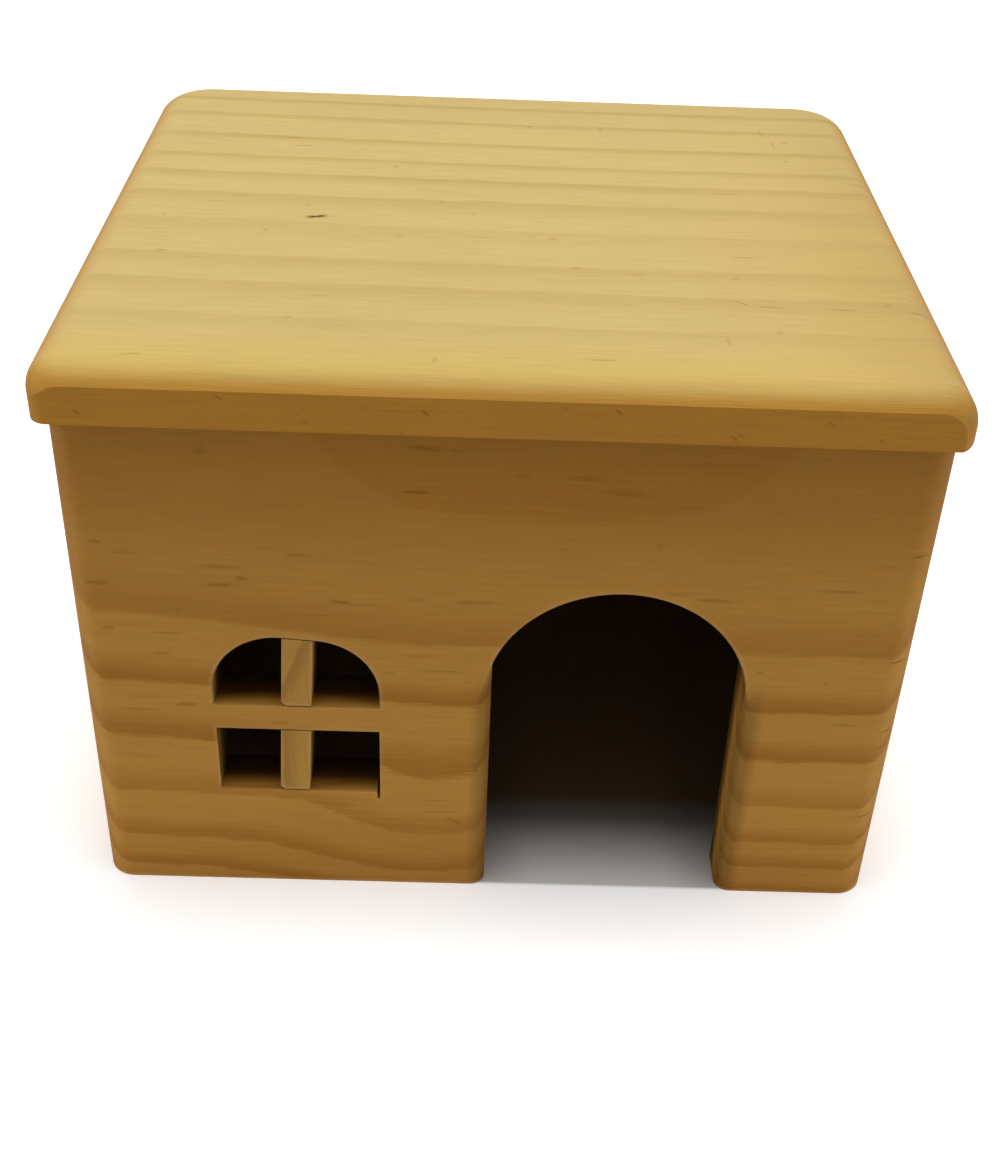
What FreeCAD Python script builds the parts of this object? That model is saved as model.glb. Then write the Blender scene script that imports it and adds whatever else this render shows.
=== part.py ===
"""Wooden hamster house: pine boards butted and dowelled, bottomless, with a glued and dowelled roof.

Millimetres, +Z up, the house standing on Z = 0, its front facing -Y.
The origin is on the ground, under the middle of the roof.
"""

import FreeCAD, Part
import math
import os
import Sketcher
from FreeCAD import Vector

# name: (size, what it is)
SIZES = {
    "roof_width": (160, "roof board, left to right"),
    "roof_depth": (147, "roof board, front to back"),
    "roof_thickness": (10, "roof board"),
    "roof_overhang_side": (2, "roof past the walls, each side"),
    "roof_overhang_front": (1.5, "roof past the walls, front and back"),
    "roof_round_radius": (7.5, "arc of the rounded-over top edge"),
    "roof_round_drop": (2.8, "where that arc meets the edge face, below the top"),
    "roof_round_drop_right": (5, "the same on the right-hand end, which is sanded further down"),
    "roof_round_room": (0.5, "least inner radius left to that arc where it turns a corner"),
    "roof_corner_radius_front": (3.4, "front roof corners in plan"),
    "roof_corner_radius_back": (9.7, "back roof corners in plan"),
    "roof_corner_step": (2.8, "how much wider the rounding turns a corner than the board does"),
    "wall_height": (107, "all four walls"),
    "wall_thickness": (10, "all four walls"),
    "wall_corner_radius": (5.5, "upright outer corners of the house"),
    "door_middle": (23.3, "doorway, right of the middle of the house"),
    "door_width": (47.8, "doorway between its jambs"),
    "door_spring": (57.5, "height of the left jamb, which the arch meets at a corner"),
    "door_rise": (16.9, "arch over the left jamb"),
    "door_reach": (0.99, "share of the arch's radius between its crown and the right jamb"),
    "jamb_radius": (3, "rounded-over front edge of the jambs"),
    "jamb_runout": (8, "height over which that rounding dies out below the arch"),
    "window_middle": (-37.4, "window, left of the middle of the house"),
    "window_width": (31.3, "window"),
    "window_sill": (25, "height of the sill"),
    "window_bar_foot": (40.2, "height of the cross bar's underside"),
    "window_bar_height": (6.1, "cross bar left in the board"),
    "window_head_left": (63.2, "height of the window's head at its left jamb, before that corner is rounded"),
    "window_head_right": (61, "the same at its right jamb"),
    "window_round_left": (12.4, "arc that rounds the head's left corner"),
    "window_round_right": (12.5, "arc that rounds the head's right corner"),
    "muntin_width": (5.7, "upright sticks of the window"),
    "muntin_head_shift": (0.65, "how far right of the window's middle the sticks stand at its head"),
    "muntin_foot_shift": (1.1, "how far left of the window's middle they stand at the sill"),
    "muntin_gap": (0.15, "glue line under the foot of each stick"),
    "muntin_chip": (0.8, "broken lower corner of each stick"),
    "saw_kerf": (0.6, "cut of the saw"),
    "saw_overcut": (1.8, "where the saw ran past the window's lower right corner"),
    "edge_ease": (0.3, "sanded arris of the arches, the sill and the cross bar"),
    "dowel_diameter": (5, "all dowels"),
    "dowel_length": (24, "all dowels"),
    "dowel_chamfer": (0.6, "dowel ends"),
    "dowel_bite": (6, "how far a dowel enters the face of a board"),
    "dowel_fit": (0.1, "hole wider than its dowel"),
    "dowel_end_room": (0.5, "glue room past each dowel end"),
    "dowel_from_ground": (22, "lower dowel of a corner, above the ground"),
    "dowel_clearance": (3.95, "wood left between an upper wall dowel's hole and a roof dowel's hole"),
    "roof_dowel_inset": (22, "roof dowel, from the end of its side wall"),
}

doc = FreeCAD.newDocument("hamster_house")


def make_sheet():
    """Driving dimensions, one alias for each size."""
    sheet = doc.addObject("Spreadsheet::Sheet", "Sizes")
    for row, (name, (size, note)) in enumerate(SIZES.items(), start=1):
        sheet.set("A%d" % row, name)
        sheet.set("B%d" % row, str(size))
        sheet.set("C%d" % row, note)
        sheet.setAlias("B%d" % row, name)
    doc.recompute()
    return sheet


sheet = make_sheet()


def formula(text):
    """The text with each size's name written as a cell of the sheet."""
    words = []
    for word in text.split():
        words.append("Sizes." + word if word in SIZES else word)
    return " ".join(words)


def value(text):
    """What a formula comes to at the present sizes."""
    return float(sheet.evalExpression(formula(text)))


# Lines that the pieces share, as formulas of the sheet.
WALLS_WIDTH = "( roof_width - 2 * roof_overhang_side )"
WALLS_DEPTH = "( roof_depth - 2 * roof_overhang_front )"
SIDE_LENGTH = "( roof_depth - 2 * roof_overhang_front - 2 * wall_thickness )"
SIDE_MIDDLE = "( roof_width / 2 - roof_overhang_side - wall_thickness / 2 )"
DOOR_LEFT = "( door_middle - door_width / 2 )"
DOOR_RIGHT = "( door_middle + door_width / 2 )"
DOOR_ARC = ("( ( door_reach * door_width + door_rise - sqrt( 2 * door_reach * door_width * door_rise"
            " + ( 1 - door_reach * door_reach ) * door_rise * door_rise ) ) / ( door_reach * door_reach ) )")
DOOR_CROWN = ("( %s - door_reach * %s )" % (DOOR_RIGHT, DOOR_ARC), "( door_spring + door_rise )")
DOOR_SPRINGS = ("door_spring", "( %s - %s * ( 1 - sqrt( 1 - door_reach * door_reach ) ) )" % (
    DOOR_CROWN[1], DOOR_ARC))
WINDOW_LEFT = "( window_middle - window_width / 2 )"
WINDOW_RIGHT = "( window_middle + window_width / 2 )"
BAR_TOP = "( window_bar_foot + window_bar_height )"
WINDOW_HEAD = [(WINDOW_LEFT, BAR_TOP), (WINDOW_RIGHT, BAR_TOP),
               (WINDOW_RIGHT, "window_head_right"), (WINDOW_LEFT, "window_head_left")]
MUNTIN_LEAN = ("( ( muntin_head_shift + muntin_foot_shift )"
               " / ( ( window_head_left + window_head_right ) / 2 - window_sill ) )")
FRONT_FACE = "( - roof_depth / 2 + roof_overhang_front )"
ROUND_OUTSIDE = ("( roof_round_radius - sqrt( 2 * roof_round_radius * roof_round_drop"
                 " - roof_round_drop * roof_round_drop ) )")
ROUND_OUTSIDE_RIGHT = ROUND_OUTSIDE.replace("roof_round_drop", "roof_round_drop_right")
ROUND_CORNER = "max( roof_round_radius + roof_round_room ; %s + roof_corner_step )"
HOLE_RADIUS = "( dowel_diameter / 2 + dowel_fit / 2 )"
FACE_HOLE = "( dowel_bite + dowel_end_room )"
END_HOLE = "( dowel_length - dowel_bite + dowel_end_room )"
DOWEL_HEIGHTS = ("dowel_from_ground",
                 "( wall_height - %s - dowel_clearance - %s )" % (END_HOLE, HOLE_RADIUS))
ROOF_DOWEL_PLACES = ("( - %s / 2 + roof_dowel_inset )" % SIDE_LENGTH,
                     "( %s / 2 - roof_dowel_inset )" % SIDE_LENGTH)


# ---------------------------------------------------------------- helpers

def new_body(name):
    body = doc.addObject("PartDesign::Body", name)
    body.Label = name
    return body


def move_body(body, x="0", y="0", z="0"):
    """Place the body by formulas."""
    for axis, text in (("x", x), ("y", y), ("z", z)):
        body.setExpression("Placement.Base." + axis, formula(text))


def new_sketch(body, name, plane, offset="0"):
    """Sketch on one of the body's own origin planes, moved along the plane's normal."""
    sketch = body.newObject("Sketcher::SketchObject", name)
    for feature in body.Origin.OriginFeatures:
        if feature.Role == plane:
            sketch.AttachmentSupport = [(feature, "")]
    sketch.MapMode = "FlatFace"
    sketch.setExpression("AttachmentOffset.Base.z", formula(offset))
    return sketch


def set_size(sketch, kind, geometry, point, text):
    """Dimension one point of the sketch along one axis by a formula."""
    index = sketch.addConstraint(Sketcher.Constraint(kind, geometry, point, value(text)))
    sketch.setExpression("Constraints[%d]" % index, formula(text))


def set_radius(sketch, geometry, text):
    """Dimension a circle or an arc of the sketch by a formula."""
    index = sketch.addConstraint(Sketcher.Constraint("Radius", geometry, value(text)))
    sketch.setExpression("Constraints[%d]" % index, formula(text))


def draw_block(sketch, left, right, low, high):
    """Rectangle between four lines given as formulas."""
    draw_four_sided(sketch, [(left, low), (right, low), (right, high), (left, high)])


def draw_four_sided(sketch, corners):
    """Four-sided outline whose corners are given as formulas, in order."""
    points = [Vector(value(x), value(y), 0) for x, y in corners]
    first = sketch.GeometryCount
    for number in range(4):
        line = Part.LineSegment(points[number], points[(number + 1) % 4])
        sketch.addGeometry(line, False)
    for number, (x, y) in enumerate(corners):
        before = first + (number - 1) % 4
        sketch.addConstraint(Sketcher.Constraint("Coincident", before, 2, first + number, 1))
        set_size(sketch, "DistanceX", first + number, 1, x)
        set_size(sketch, "DistanceY", first + number, 1, y)


def draw_arched(sketch, left, right, foot, springs, crown, arc_radius):
    """Opening with upright sides under an arc, each side with a springing of its own."""
    low, high = value(foot), [value(spring) for spring in springs]
    left_head, right_head = Vector(value(left), high[0], 0), Vector(value(right), high[1], 0)
    left_foot, right_foot = Vector(value(left), low, 0), Vector(value(right), low, 0)
    first = sketch.GeometryCount
    sketch.addGeometry(Part.LineSegment(left_head, left_foot), False)
    sketch.addGeometry(Part.LineSegment(left_foot, right_foot), False)
    sketch.addGeometry(Part.LineSegment(right_foot, right_head), False)
    top = Vector(value(crown[0]), value(crown[1]), 0)
    sketch.addGeometry(Part.Arc(right_head, top, left_head), False)
    sketch.addConstraint(Sketcher.Constraint("Coincident", first, 2, first + 1, 1))
    sketch.addConstraint(Sketcher.Constraint("Coincident", first + 1, 2, first + 2, 1))
    sketch.addConstraint(Sketcher.Constraint("Coincident", first + 2, 2, first + 3, 1))
    sketch.addConstraint(Sketcher.Constraint("Coincident", first + 3, 2, first, 1))
    for line, x, z in ((0, left, springs[0]), (1, left, foot), (2, right, foot)):
        set_size(sketch, "DistanceX", first + line, 1, x)
        set_size(sketch, "DistanceY", first + line, 1, z)
    set_size(sketch, "DistanceX", first + 2, 2, right)
    set_size(sketch, "DistanceY", first + 2, 2, springs[1])
    set_radius(sketch, first + 3, arc_radius)


def draw_circle(sketch, x, y, radius):
    """Circle whose centre and radius are formulas."""
    center = Vector(value(x), value(y), 0)
    circle = Part.Circle(center, Vector(0, 0, 1), value(radius))
    index = sketch.addGeometry(circle, False)
    set_size(sketch, "DistanceX", index, 3, x)
    set_size(sketch, "DistanceY", index, 3, y)
    set_radius(sketch, index, radius)


def pad(body, sketch, name, length, reverse=False):
    """Give the sketch its thickness along its normal, or against it."""
    feature = body.newObject("PartDesign::Pad", name)
    feature.Profile = sketch
    feature.Reversed = reverse
    feature.setExpression("Length", formula(length))
    doc.recompute()
    return feature


def pocket(body, sketch, name, length, reverse=False):
    """Cut the sketch out of the body, and make sure that it did cut."""
    before = body.Shape.Volume
    feature = body.newObject("PartDesign::Pocket", name)
    feature.Profile = sketch
    feature.Reversed = reverse
    feature.setExpression("Length", formula(length))
    doc.recompute()
    if body.Shape.Volume > before - 0.01:
        raise RuntimeError(name + " cuts nothing")
    return feature


def edges_where(shape, test):
    """Names of the shape's edges whose start, middle and end points pass the test."""
    names = []
    for number, edge in enumerate(shape.Edges, start=1):
        start = edge.valueAt(edge.FirstParameter)
        end = edge.valueAt(edge.LastParameter)
        middle = edge.valueAt((edge.FirstParameter + edge.LastParameter) / 2)
        if test(start, middle, end):
            names.append("Edge%d" % number)
    return names


def near(a, b):
    return abs(a - b) < 0.001


def dress(body, kind, name, test, size_name, size):
    """Fillet or chamfer the edges of the body that pass the test."""
    base = body.Tip
    feature = body.newObject(kind, name)
    feature.Base = (base, edges_where(base.Shape, test))
    feature.setExpression(size_name, formula(size))
    doc.recompute()
    return feature


def is_upright(start, end):
    """Whether an edge between these points runs along Z."""
    return near(start.x, end.x) and near(start.y, end.y) and not near(start.z, end.z)


# ---------------------------------------------------------------- walls

def make_wall_board(name):
    """Board across the house: its front face on the body's XZ plane, the wood behind it."""
    body = new_body(name)
    sketch = new_sketch(body, name + "_board", "XZ_Plane")
    left, right = "- %s / 2" % WALLS_WIDTH, "%s / 2" % WALLS_WIDTH
    draw_block(sketch, left, right, "0", "wall_height")
    pad(body, sketch, name + "_pad", "wall_thickness", reverse=True)
    return body


def round_corners(body, face_depth):
    """Round over the two upright arrises of the board's outer face."""
    side = value(WALLS_WIDTH + " / 2")
    depth = value(face_depth)

    def is_corner(start, middle, end):
        return is_upright(start, end) and near(abs(middle.x), side) and near(middle.y, depth)

    dress(body, "PartDesign::Fillet", body.Name + "_corners", is_corner, "Radius", "wall_corner_radius")


def bore_for_side_walls(body, face_depth, reverse):
    """Blind holes in the board's inner face, two over each side wall's end."""
    sketch = new_sketch(body, body.Name + "_dowel_marks", "XZ_Plane", "- " + face_depth)
    for sign in ("- ", ""):
        for height in DOWEL_HEIGHTS:
            draw_circle(sketch, sign + SIDE_MIDDLE, height, HOLE_RADIUS)
    pocket(body, sketch, body.Name + "_dowel_holes", FACE_HOLE, reverse)


def cut_doorway(body):
    """Round-headed doorway, cut up from the board's lower edge: its arch runs almost smoothly into
    the right jamb, and meets the left one higher up, at a corner."""
    sketch = new_sketch(body, "doorway_outline", "XZ_Plane")
    foot = "- wall_thickness"
    draw_arched(sketch, DOOR_LEFT, DOOR_RIGHT, foot, DOOR_SPRINGS, DOOR_CROWN, DOOR_ARC)
    pocket(body, sketch, "doorway", "wall_thickness")


def cut_window(body):
    """Two openings, one over the other, that leave the cross bar in the board. The head of the upper
    one falls a little to the right, between two large rounded corners."""
    sketch = new_sketch(body, "window_outline", "XZ_Plane")
    draw_block(sketch, WINDOW_LEFT, WINDOW_RIGHT, "window_sill", "window_bar_foot")
    draw_four_sided(sketch, WINDOW_HEAD)
    pocket(body, sketch, "window", "wall_thickness")
    round_window_head(body)


def round_window_head(body):
    """Round the two upper corners of the window, in the board or in the shape of its opening."""
    for side, (x, z) in (("left", WINDOW_HEAD[3]), ("right", WINDOW_HEAD[2])):
        corner_x, corner_z = value(x), value(z)

        def is_head_corner(start, middle, end):
            along_y = near(start.x, end.x) and near(start.z, end.z)
            return along_y and near(middle.x, corner_x) and near(middle.z, corner_z)

        name = "%s_head_%s" % (body.Name, side)
        dress(body, "PartDesign::Fillet", name, is_head_corner, "Radius", "window_round_" + side)


def overrun_corner(body):
    """Saw cut that runs on below the window's lower right corner."""
    sketch = new_sketch(body, "overrun_outline", "XZ_Plane")
    left = "( %s - saw_kerf )" % WINDOW_RIGHT
    foot, top = "( window_sill - saw_overcut )", "( window_sill + saw_kerf )"
    draw_block(sketch, left, WINDOW_RIGHT, foot, top)
    pocket(body, sketch, "saw_overrun", "wall_thickness")


def ease_openings(body):
    """Take the front arris off the arches, the sill and the cross bar."""
    side = value(WALLS_WIDTH + " / 2 - wall_corner_radius")
    top = value("wall_height")

    def is_opening_edge(start, middle, end):
        on_face = near(start.y, 0) and near(middle.y, 0) and near(end.y, 0)
        inside = abs(middle.x) < side - 0.01 and 0.01 < middle.z < top - 0.01
        return on_face and inside and not is_upright(start, end)

    dress(body, "PartDesign::Chamfer", "eased_openings", is_opening_edge, "Size", "edge_ease")


def draw_spandrel(sketch, corner, side, radius):
    """What a rounding takes off an upright edge: the corner outside its quarter arc."""
    corner_x, reach = value(corner), value(radius)
    far = "( %s %s %s )" % (corner, side, radius)
    quarter = math.pi / 2
    start, arc_at_face, arc_at_jamb = (-quarter, 1, 2) if side == "-" else (math.pi, 2, 1)
    circle = Part.Circle(Vector(value(far), reach, 0), Vector(0, 0, 1), reach)
    on_face, on_jamb = Vector(value(far), 0, 0), Vector(corner_x, reach, 0)
    jamb = sketch.GeometryCount
    arc, face = jamb + 1, jamb + 2
    sketch.addGeometry(Part.LineSegment(Vector(corner_x, 0, 0), on_jamb), False)
    sketch.addGeometry(Part.ArcOfCircle(circle, start, start + quarter), False)
    sketch.addGeometry(Part.LineSegment(on_face, Vector(corner_x, 0, 0)), False)
    sketch.addConstraint(Sketcher.Constraint("Coincident", jamb, 2, arc, arc_at_jamb))
    sketch.addConstraint(Sketcher.Constraint("Coincident", arc, arc_at_face, face, 1))
    sketch.addConstraint(Sketcher.Constraint("Coincident", face, 2, jamb, 1))
    set_size(sketch, "DistanceX", jamb, 1, corner)
    set_size(sketch, "DistanceY", jamb, 1, "0")
    set_size(sketch, "DistanceX", jamb, 2, corner)
    set_size(sketch, "DistanceY", jamb, 2, radius)
    set_size(sketch, "DistanceX", face, 1, far)
    set_size(sketch, "DistanceY", face, 1, "0")
    set_radius(sketch, arc, radius)


def round_jamb(body, name, corner, side, spring):
    """Round over one jamb's front edge, dying out under the springing of the arch."""
    full_height = "( %s - jamb_runout )" % spring
    foot = new_sketch(body, name + "_profile", "XY_Plane")
    draw_spandrel(foot, corner, side, "jamb_radius")
    pocket(body, foot, name + "_rounding", full_height, reverse=True)
    lower = new_sketch(body, name + "_runout_start", "XY_Plane", full_height)
    draw_spandrel(lower, corner, side, "jamb_radius")
    upper = new_sketch(body, name + "_runout_end", "XY_Plane", spring)
    draw_spandrel(upper, corner, side, "edge_ease")
    runout = body.newObject("PartDesign::SubtractiveLoft", name + "_runout")
    runout.Profile = lower
    runout.Sections = [upper]
    runout.Ruled = True
    doc.recompute()


def make_front_wall():
    """Front board with its doorway and window."""
    body = make_wall_board("front_wall")
    round_corners(body, "0")
    cut_doorway(body)
    cut_window(body)
    ease_openings(body)
    overrun_corner(body)
    round_jamb(body, "left_jamb", DOOR_LEFT, "-", DOOR_SPRINGS[0])
    round_jamb(body, "right_jamb", DOOR_RIGHT, "+", DOOR_SPRINGS[1])
    bore_for_side_walls(body, "wall_thickness", reverse=True)
    move_body(body, y=FRONT_FACE)
    return body


def make_back_wall():
    """Plain back board."""
    body = make_wall_board("back_wall")
    round_corners(body, "wall_thickness")
    bore_for_side_walls(body, "0", reverse=False)
    move_body(body, y="%s / 2 - wall_thickness" % WALLS_DEPTH)
    return body


def make_side_wall(name, sign):
    """Board butted between the front and the back, with dowel holes in its ends and its top edge."""
    body = new_body(name)
    plan = new_sketch(body, name + "_plan", "XY_Plane")
    half_x, half_y = "wall_thickness / 2", "%s / 2" % SIDE_LENGTH
    draw_block(plan, "- " + half_x, half_x, "- " + half_y, half_y)
    pad(body, plan, name + "_pad", "wall_height")
    for end, offset, reverse in (("front", half_y, False), ("back", "- " + half_y, True)):
        marks = new_sketch(body, "%s_%s_marks" % (name, end), "XZ_Plane", offset)
        for height in DOWEL_HEIGHTS:
            draw_circle(marks, "0", height, HOLE_RADIUS)
        pocket(body, marks, "%s_%s_holes" % (name, end), END_HOLE, reverse)
    marks = new_sketch(body, name + "_top_marks", "XY_Plane", "wall_height")
    for place in ROOF_DOWEL_PLACES:
        draw_circle(marks, "0", place, HOLE_RADIUS)
    pocket(body, marks, name + "_top_holes", END_HOLE)
    move_body(body, x=sign + SIDE_MIDDLE)
    return body


# ---------------------------------------------------------------- window sticks

def muntin_side(side, height):
    """Where one side of the leaning sticks stands at a height: side is "-" for the left one."""
    middle = "window_middle - muntin_foot_shift + %s * ( %s - window_sill )" % (MUNTIN_LEAN, height)
    return "( %s %s muntin_width / 2 )" % (middle, side)


def make_muntin(name, foot, top):
    """Stick as thick as the board, nearly upright."""
    body = new_body(name)
    outline = new_sketch(body, name + "_outline", "XZ_Plane")
    draw_four_sided(outline, [(muntin_side("-", foot), foot), (muntin_side("+", foot), foot),
                              (muntin_side("+", top), top), (muntin_side("-", top), top)])
    pad(body, outline, name + "_pad", "wall_thickness", reverse=True)
    left_x, foot_z = value(muntin_side("-", foot)), value(foot)

    def is_chipped_edge(start, middle, end):
        along_y = near(start.x, end.x) and near(start.z, end.z)
        return along_y and near(middle.x, left_x) and near(middle.z, foot_z)

    dress(body, "PartDesign::Chamfer", name + "_chip", is_chipped_edge, "Size", "muntin_chip")
    return body


def make_upper_muntin():
    """Stick between the cross bar and the window's head: its own head is cut to the shape of the
    opening."""
    stick = make_muntin("upper_stick", "( %s + muntin_gap )" % BAR_TOP, "window_head_left")
    head = new_body("window_head")
    outline = new_sketch(head, "window_head_outline", "XZ_Plane")
    draw_four_sided(outline, WINDOW_HEAD)
    pad(head, outline, "window_head_pad", "wall_thickness", reverse=True)
    round_window_head(head)
    upper = doc.addObject("Part::Common", "window_muntin_upper")
    upper.Label = "window_muntin_upper"
    upper.Base = stick
    upper.Tool = head
    upper.setExpression("Placement.Base.y", formula(FRONT_FACE))
    doc.recompute()
    return upper


def make_muntins():
    """Both sticks stand a glue line clear of their seats, under the head or under the cross bar."""
    upper = make_upper_muntin()
    lower = make_muntin("window_muntin_lower", "( window_sill + muntin_gap )", "window_bar_foot")
    move_body(lower, y=FRONT_FACE)
    return [upper, lower]


# ---------------------------------------------------------------- roof

def make_roof_blank():
    """Flat board cut to the roof's outline, with blind holes for the dowels in its underside."""
    body = new_body("roof_blank")
    plan = new_sketch(body, "roof_plan", "XY_Plane")
    half_x, half_y = "roof_width / 2", "roof_depth / 2"
    draw_block(plan, "- " + half_x, half_x, "- " + half_y, half_y)
    pad(body, plan, "roof_blank_pad", "roof_thickness")
    round_roof_corners(body, "roof_blank", "roof_corner_radius_front", "roof_corner_radius_back")
    marks = new_sketch(body, "roof_dowel_marks", "XY_Plane")
    for sign in ("- ", ""):
        for place in ROOF_DOWEL_PLACES:
            draw_circle(marks, sign + SIDE_MIDDLE, place, HOLE_RADIUS)
    pocket(body, marks, "roof_dowel_holes", FACE_HOLE, reverse=True)
    return body


def round_roof_corners(body, name, front_radius, back_radius):
    """Round the four upright corners in plan, the front two and the back two alike."""
    box = body.Shape.BoundBox

    def is_front_corner(start, middle, end):
        on_side = near(middle.x, box.XMin) or near(middle.x, box.XMax)
        return is_upright(start, end) and on_side and near(middle.y, box.YMin)

    def is_back_corner(start, middle, end):
        on_side = near(middle.x, box.XMin) or near(middle.x, box.XMax)
        return is_upright(start, end) and on_side and near(middle.y, box.YMax)

    dress(body, "PartDesign::Fillet", name + "_front_corners", is_front_corner, "Radius", front_radius)
    dress(body, "PartDesign::Fillet", name + "_back_corners", is_back_corner, "Radius", back_radius)


def make_roof_crown():
    """Larger block whose top edge is rounded to a full quarter: what it shares with the blank is the
    roof, whose rounding so meets the edge faces at an arris."""
    body = new_body("roof_crown")
    plan = new_sketch(body, "crown_plan", "XY_Plane", "- roof_round_radius")
    left = "( - roof_width / 2 - %s )" % ROUND_OUTSIDE
    right = "( roof_width / 2 + %s )" % ROUND_OUTSIDE_RIGHT
    front = "( - roof_depth / 2 - %s )" % ROUND_OUTSIDE
    back = "( roof_depth / 2 + %s )" % ROUND_OUTSIDE
    draw_block(plan, left, right, front, back)
    pad(body, plan, "crown_pad", "roof_thickness + roof_round_radius")
    front_corner = ROUND_CORNER % "roof_corner_radius_front"
    back_corner = ROUND_CORNER % "roof_corner_radius_back"
    round_roof_corners(body, "crown", front_corner, back_corner)
    top = value("roof_thickness")

    def is_top_edge(start, middle, end):
        return near(start.z, top) and near(middle.z, top) and near(end.z, top)

    dress(body, "PartDesign::Fillet", "crown_rounding", is_top_edge, "Radius", "roof_round_radius")
    return body


def make_roof():
    """Roof board: the blank, cut down to the crown."""
    blank, crown = make_roof_blank(), make_roof_crown()
    roof = doc.addObject("Part::Common", "roof")
    roof.Label = "roof"
    roof.Base = blank
    roof.Tool = crown
    roof.setExpression("Placement.Base.z", formula("wall_height"))
    doc.recompute()
    return roof


# ---------------------------------------------------------------- dowels

def is_rim(start, middle, end):
    return start.isEqual(end, 0.001)


def make_dowel(name, along_y, x, y, z):
    """Chamfered dowel lying along +Y, or standing along +Z, from the given end."""
    body = new_body(name)
    section = new_sketch(body, name + "_section", "XY_Plane")
    draw_circle(section, "0", "0", "( dowel_diameter / 2 )")
    pad(body, section, name + "_pad", "dowel_length")
    dress(body, "PartDesign::Chamfer", name + "_ends", is_rim, "Size", "dowel_chamfer")
    if along_y:
        body.Placement.Rotation = FreeCAD.Rotation(Vector(1, 0, 0), -90)
    move_body(body, x, y, z)
    return body


def make_dowel_group(name, dowels):
    group = doc.addObject("Part::Compound", name)
    group.Label = name
    group.Links = dowels
    doc.recompute()
    return group


def make_wall_dowels(name, start_y):
    """Four dowels that join the front or the back board to the ends of the side walls."""
    dowels = []
    for sign in ("- ", ""):
        for height in DOWEL_HEIGHTS:
            dowel_name = "%s_%d" % (name, len(dowels) + 1)
            dowels.append(make_dowel(dowel_name, True, sign + SIDE_MIDDLE, start_y, height))
    return make_dowel_group(name, dowels)


def make_roof_dowels():
    """Four dowels between the side walls' top edges and the roof."""
    start_z = "wall_height + dowel_bite - dowel_length"
    dowels = []
    for sign in ("- ", ""):
        for place in ROOF_DOWEL_PLACES:
            dowel_name = "roof_dowels_%d" % (len(dowels) + 1)
            dowels.append(make_dowel(dowel_name, False, sign + SIDE_MIDDLE, place, start_z))
    return make_dowel_group("roof_dowels", dowels)


# ---------------------------------------------------------------- build and export

def check_document(pieces):
    """Stop if any object failed to compute or any piece isn't a sound solid."""
    doc.recompute()
    for item in doc.Objects:
        if "Invalid" in item.State or "Error" in item.State:
            raise RuntimeError("%s failed: %s" % (item.Name, item.State))
    for piece in pieces:
        shape = piece.Shape
        if shape.isNull() or not shape.isValid() or not shape.Solids:
            raise RuntimeError(piece.Label + " is not a sound solid")


def main():
    front_joint = FRONT_FACE + " + wall_thickness - dowel_bite"
    back_joint = "%s / 2 - wall_thickness + dowel_bite - dowel_length" % WALLS_DEPTH
    pieces = [make_front_wall(), make_back_wall()]
    pieces += [make_side_wall("left_wall", "- "), make_side_wall("right_wall", "")]
    pieces += make_muntins()
    pieces += [make_roof()]
    pieces += [make_wall_dowels("front_wall_dowels", front_joint)]
    pieces += [make_wall_dowels("back_wall_dowels", back_joint), make_roof_dowels()]
    check_document(pieces)
    os.makedirs("parts", exist_ok=True)
    for piece in pieces:
        piece.Shape.exportStep("parts/%s.step" % piece.Label)
        box = piece.Shape.BoundBox
        print("%-22s %2d solids %8.1f mm3  X %6.1f %6.1f  Y %6.1f %6.1f  Z %6.1f %6.1f" % (
            piece.Label, len(piece.Shape.Solids), piece.Shape.Volume,
            box.XMin, box.XMax, box.YMin, box.YMax, box.ZMin, box.ZMax))


main()
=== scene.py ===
"""Finishes, light and camera for a wooden hamster house of sanded pine boards.

Run as a script, it dresses the pieces with one operator after another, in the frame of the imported
model, in metres. The patterns of the boards are worked out in millimetres.
"""

import math

import bpy
from bpy.props import FloatProperty, FloatVectorProperty, PointerProperty
from mathutils import Matrix, Vector


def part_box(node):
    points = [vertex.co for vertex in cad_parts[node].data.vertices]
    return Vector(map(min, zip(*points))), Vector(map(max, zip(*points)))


bl_info = {
    "name": "Wooden Hamster House",
    "version": (1, 0, 0),
    "blender": (4, 5, 0),
    "location": "3D View > Sidebar > Hamster House",
    "description": "Dresses the boards of a pine hamster house and sets up its studio",
    "category": "Object",
}

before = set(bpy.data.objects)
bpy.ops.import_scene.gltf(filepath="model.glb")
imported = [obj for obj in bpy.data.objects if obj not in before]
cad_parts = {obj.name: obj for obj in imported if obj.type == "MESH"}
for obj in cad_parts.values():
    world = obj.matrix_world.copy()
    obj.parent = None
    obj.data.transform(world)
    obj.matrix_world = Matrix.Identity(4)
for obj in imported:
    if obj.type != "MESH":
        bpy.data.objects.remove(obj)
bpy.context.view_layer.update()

TO_MM = 1000.0
ROOF_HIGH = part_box("roof")[1]
FRONT_LOW, FRONT_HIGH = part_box("front_wall")
BACK_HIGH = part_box("back_wall")[1]

# Jambs of the doorway in the front board, in millimetres right of its middle.
LEFT_JAMB = -0.6
RIGHT_JAMB = 47.2


# ---------------------------------------------------------------- settings

def colour(name, text, default):
    return FloatVectorProperty(name=name, description=text, subtype="COLOR", size=3,
                               min=0.0, max=1.0, default=default)


def amount(name, text, default, top=1.0):
    return FloatProperty(name=name, description=text, min=0.0, max=top, default=default)


def growth_lines(default):
    return amount("Growth Lines", "How strongly the growth lines show", default)


def wander(default):
    return amount("Wave", "How far the growth lines wander, in millimetres", default, 10.0)


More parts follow.
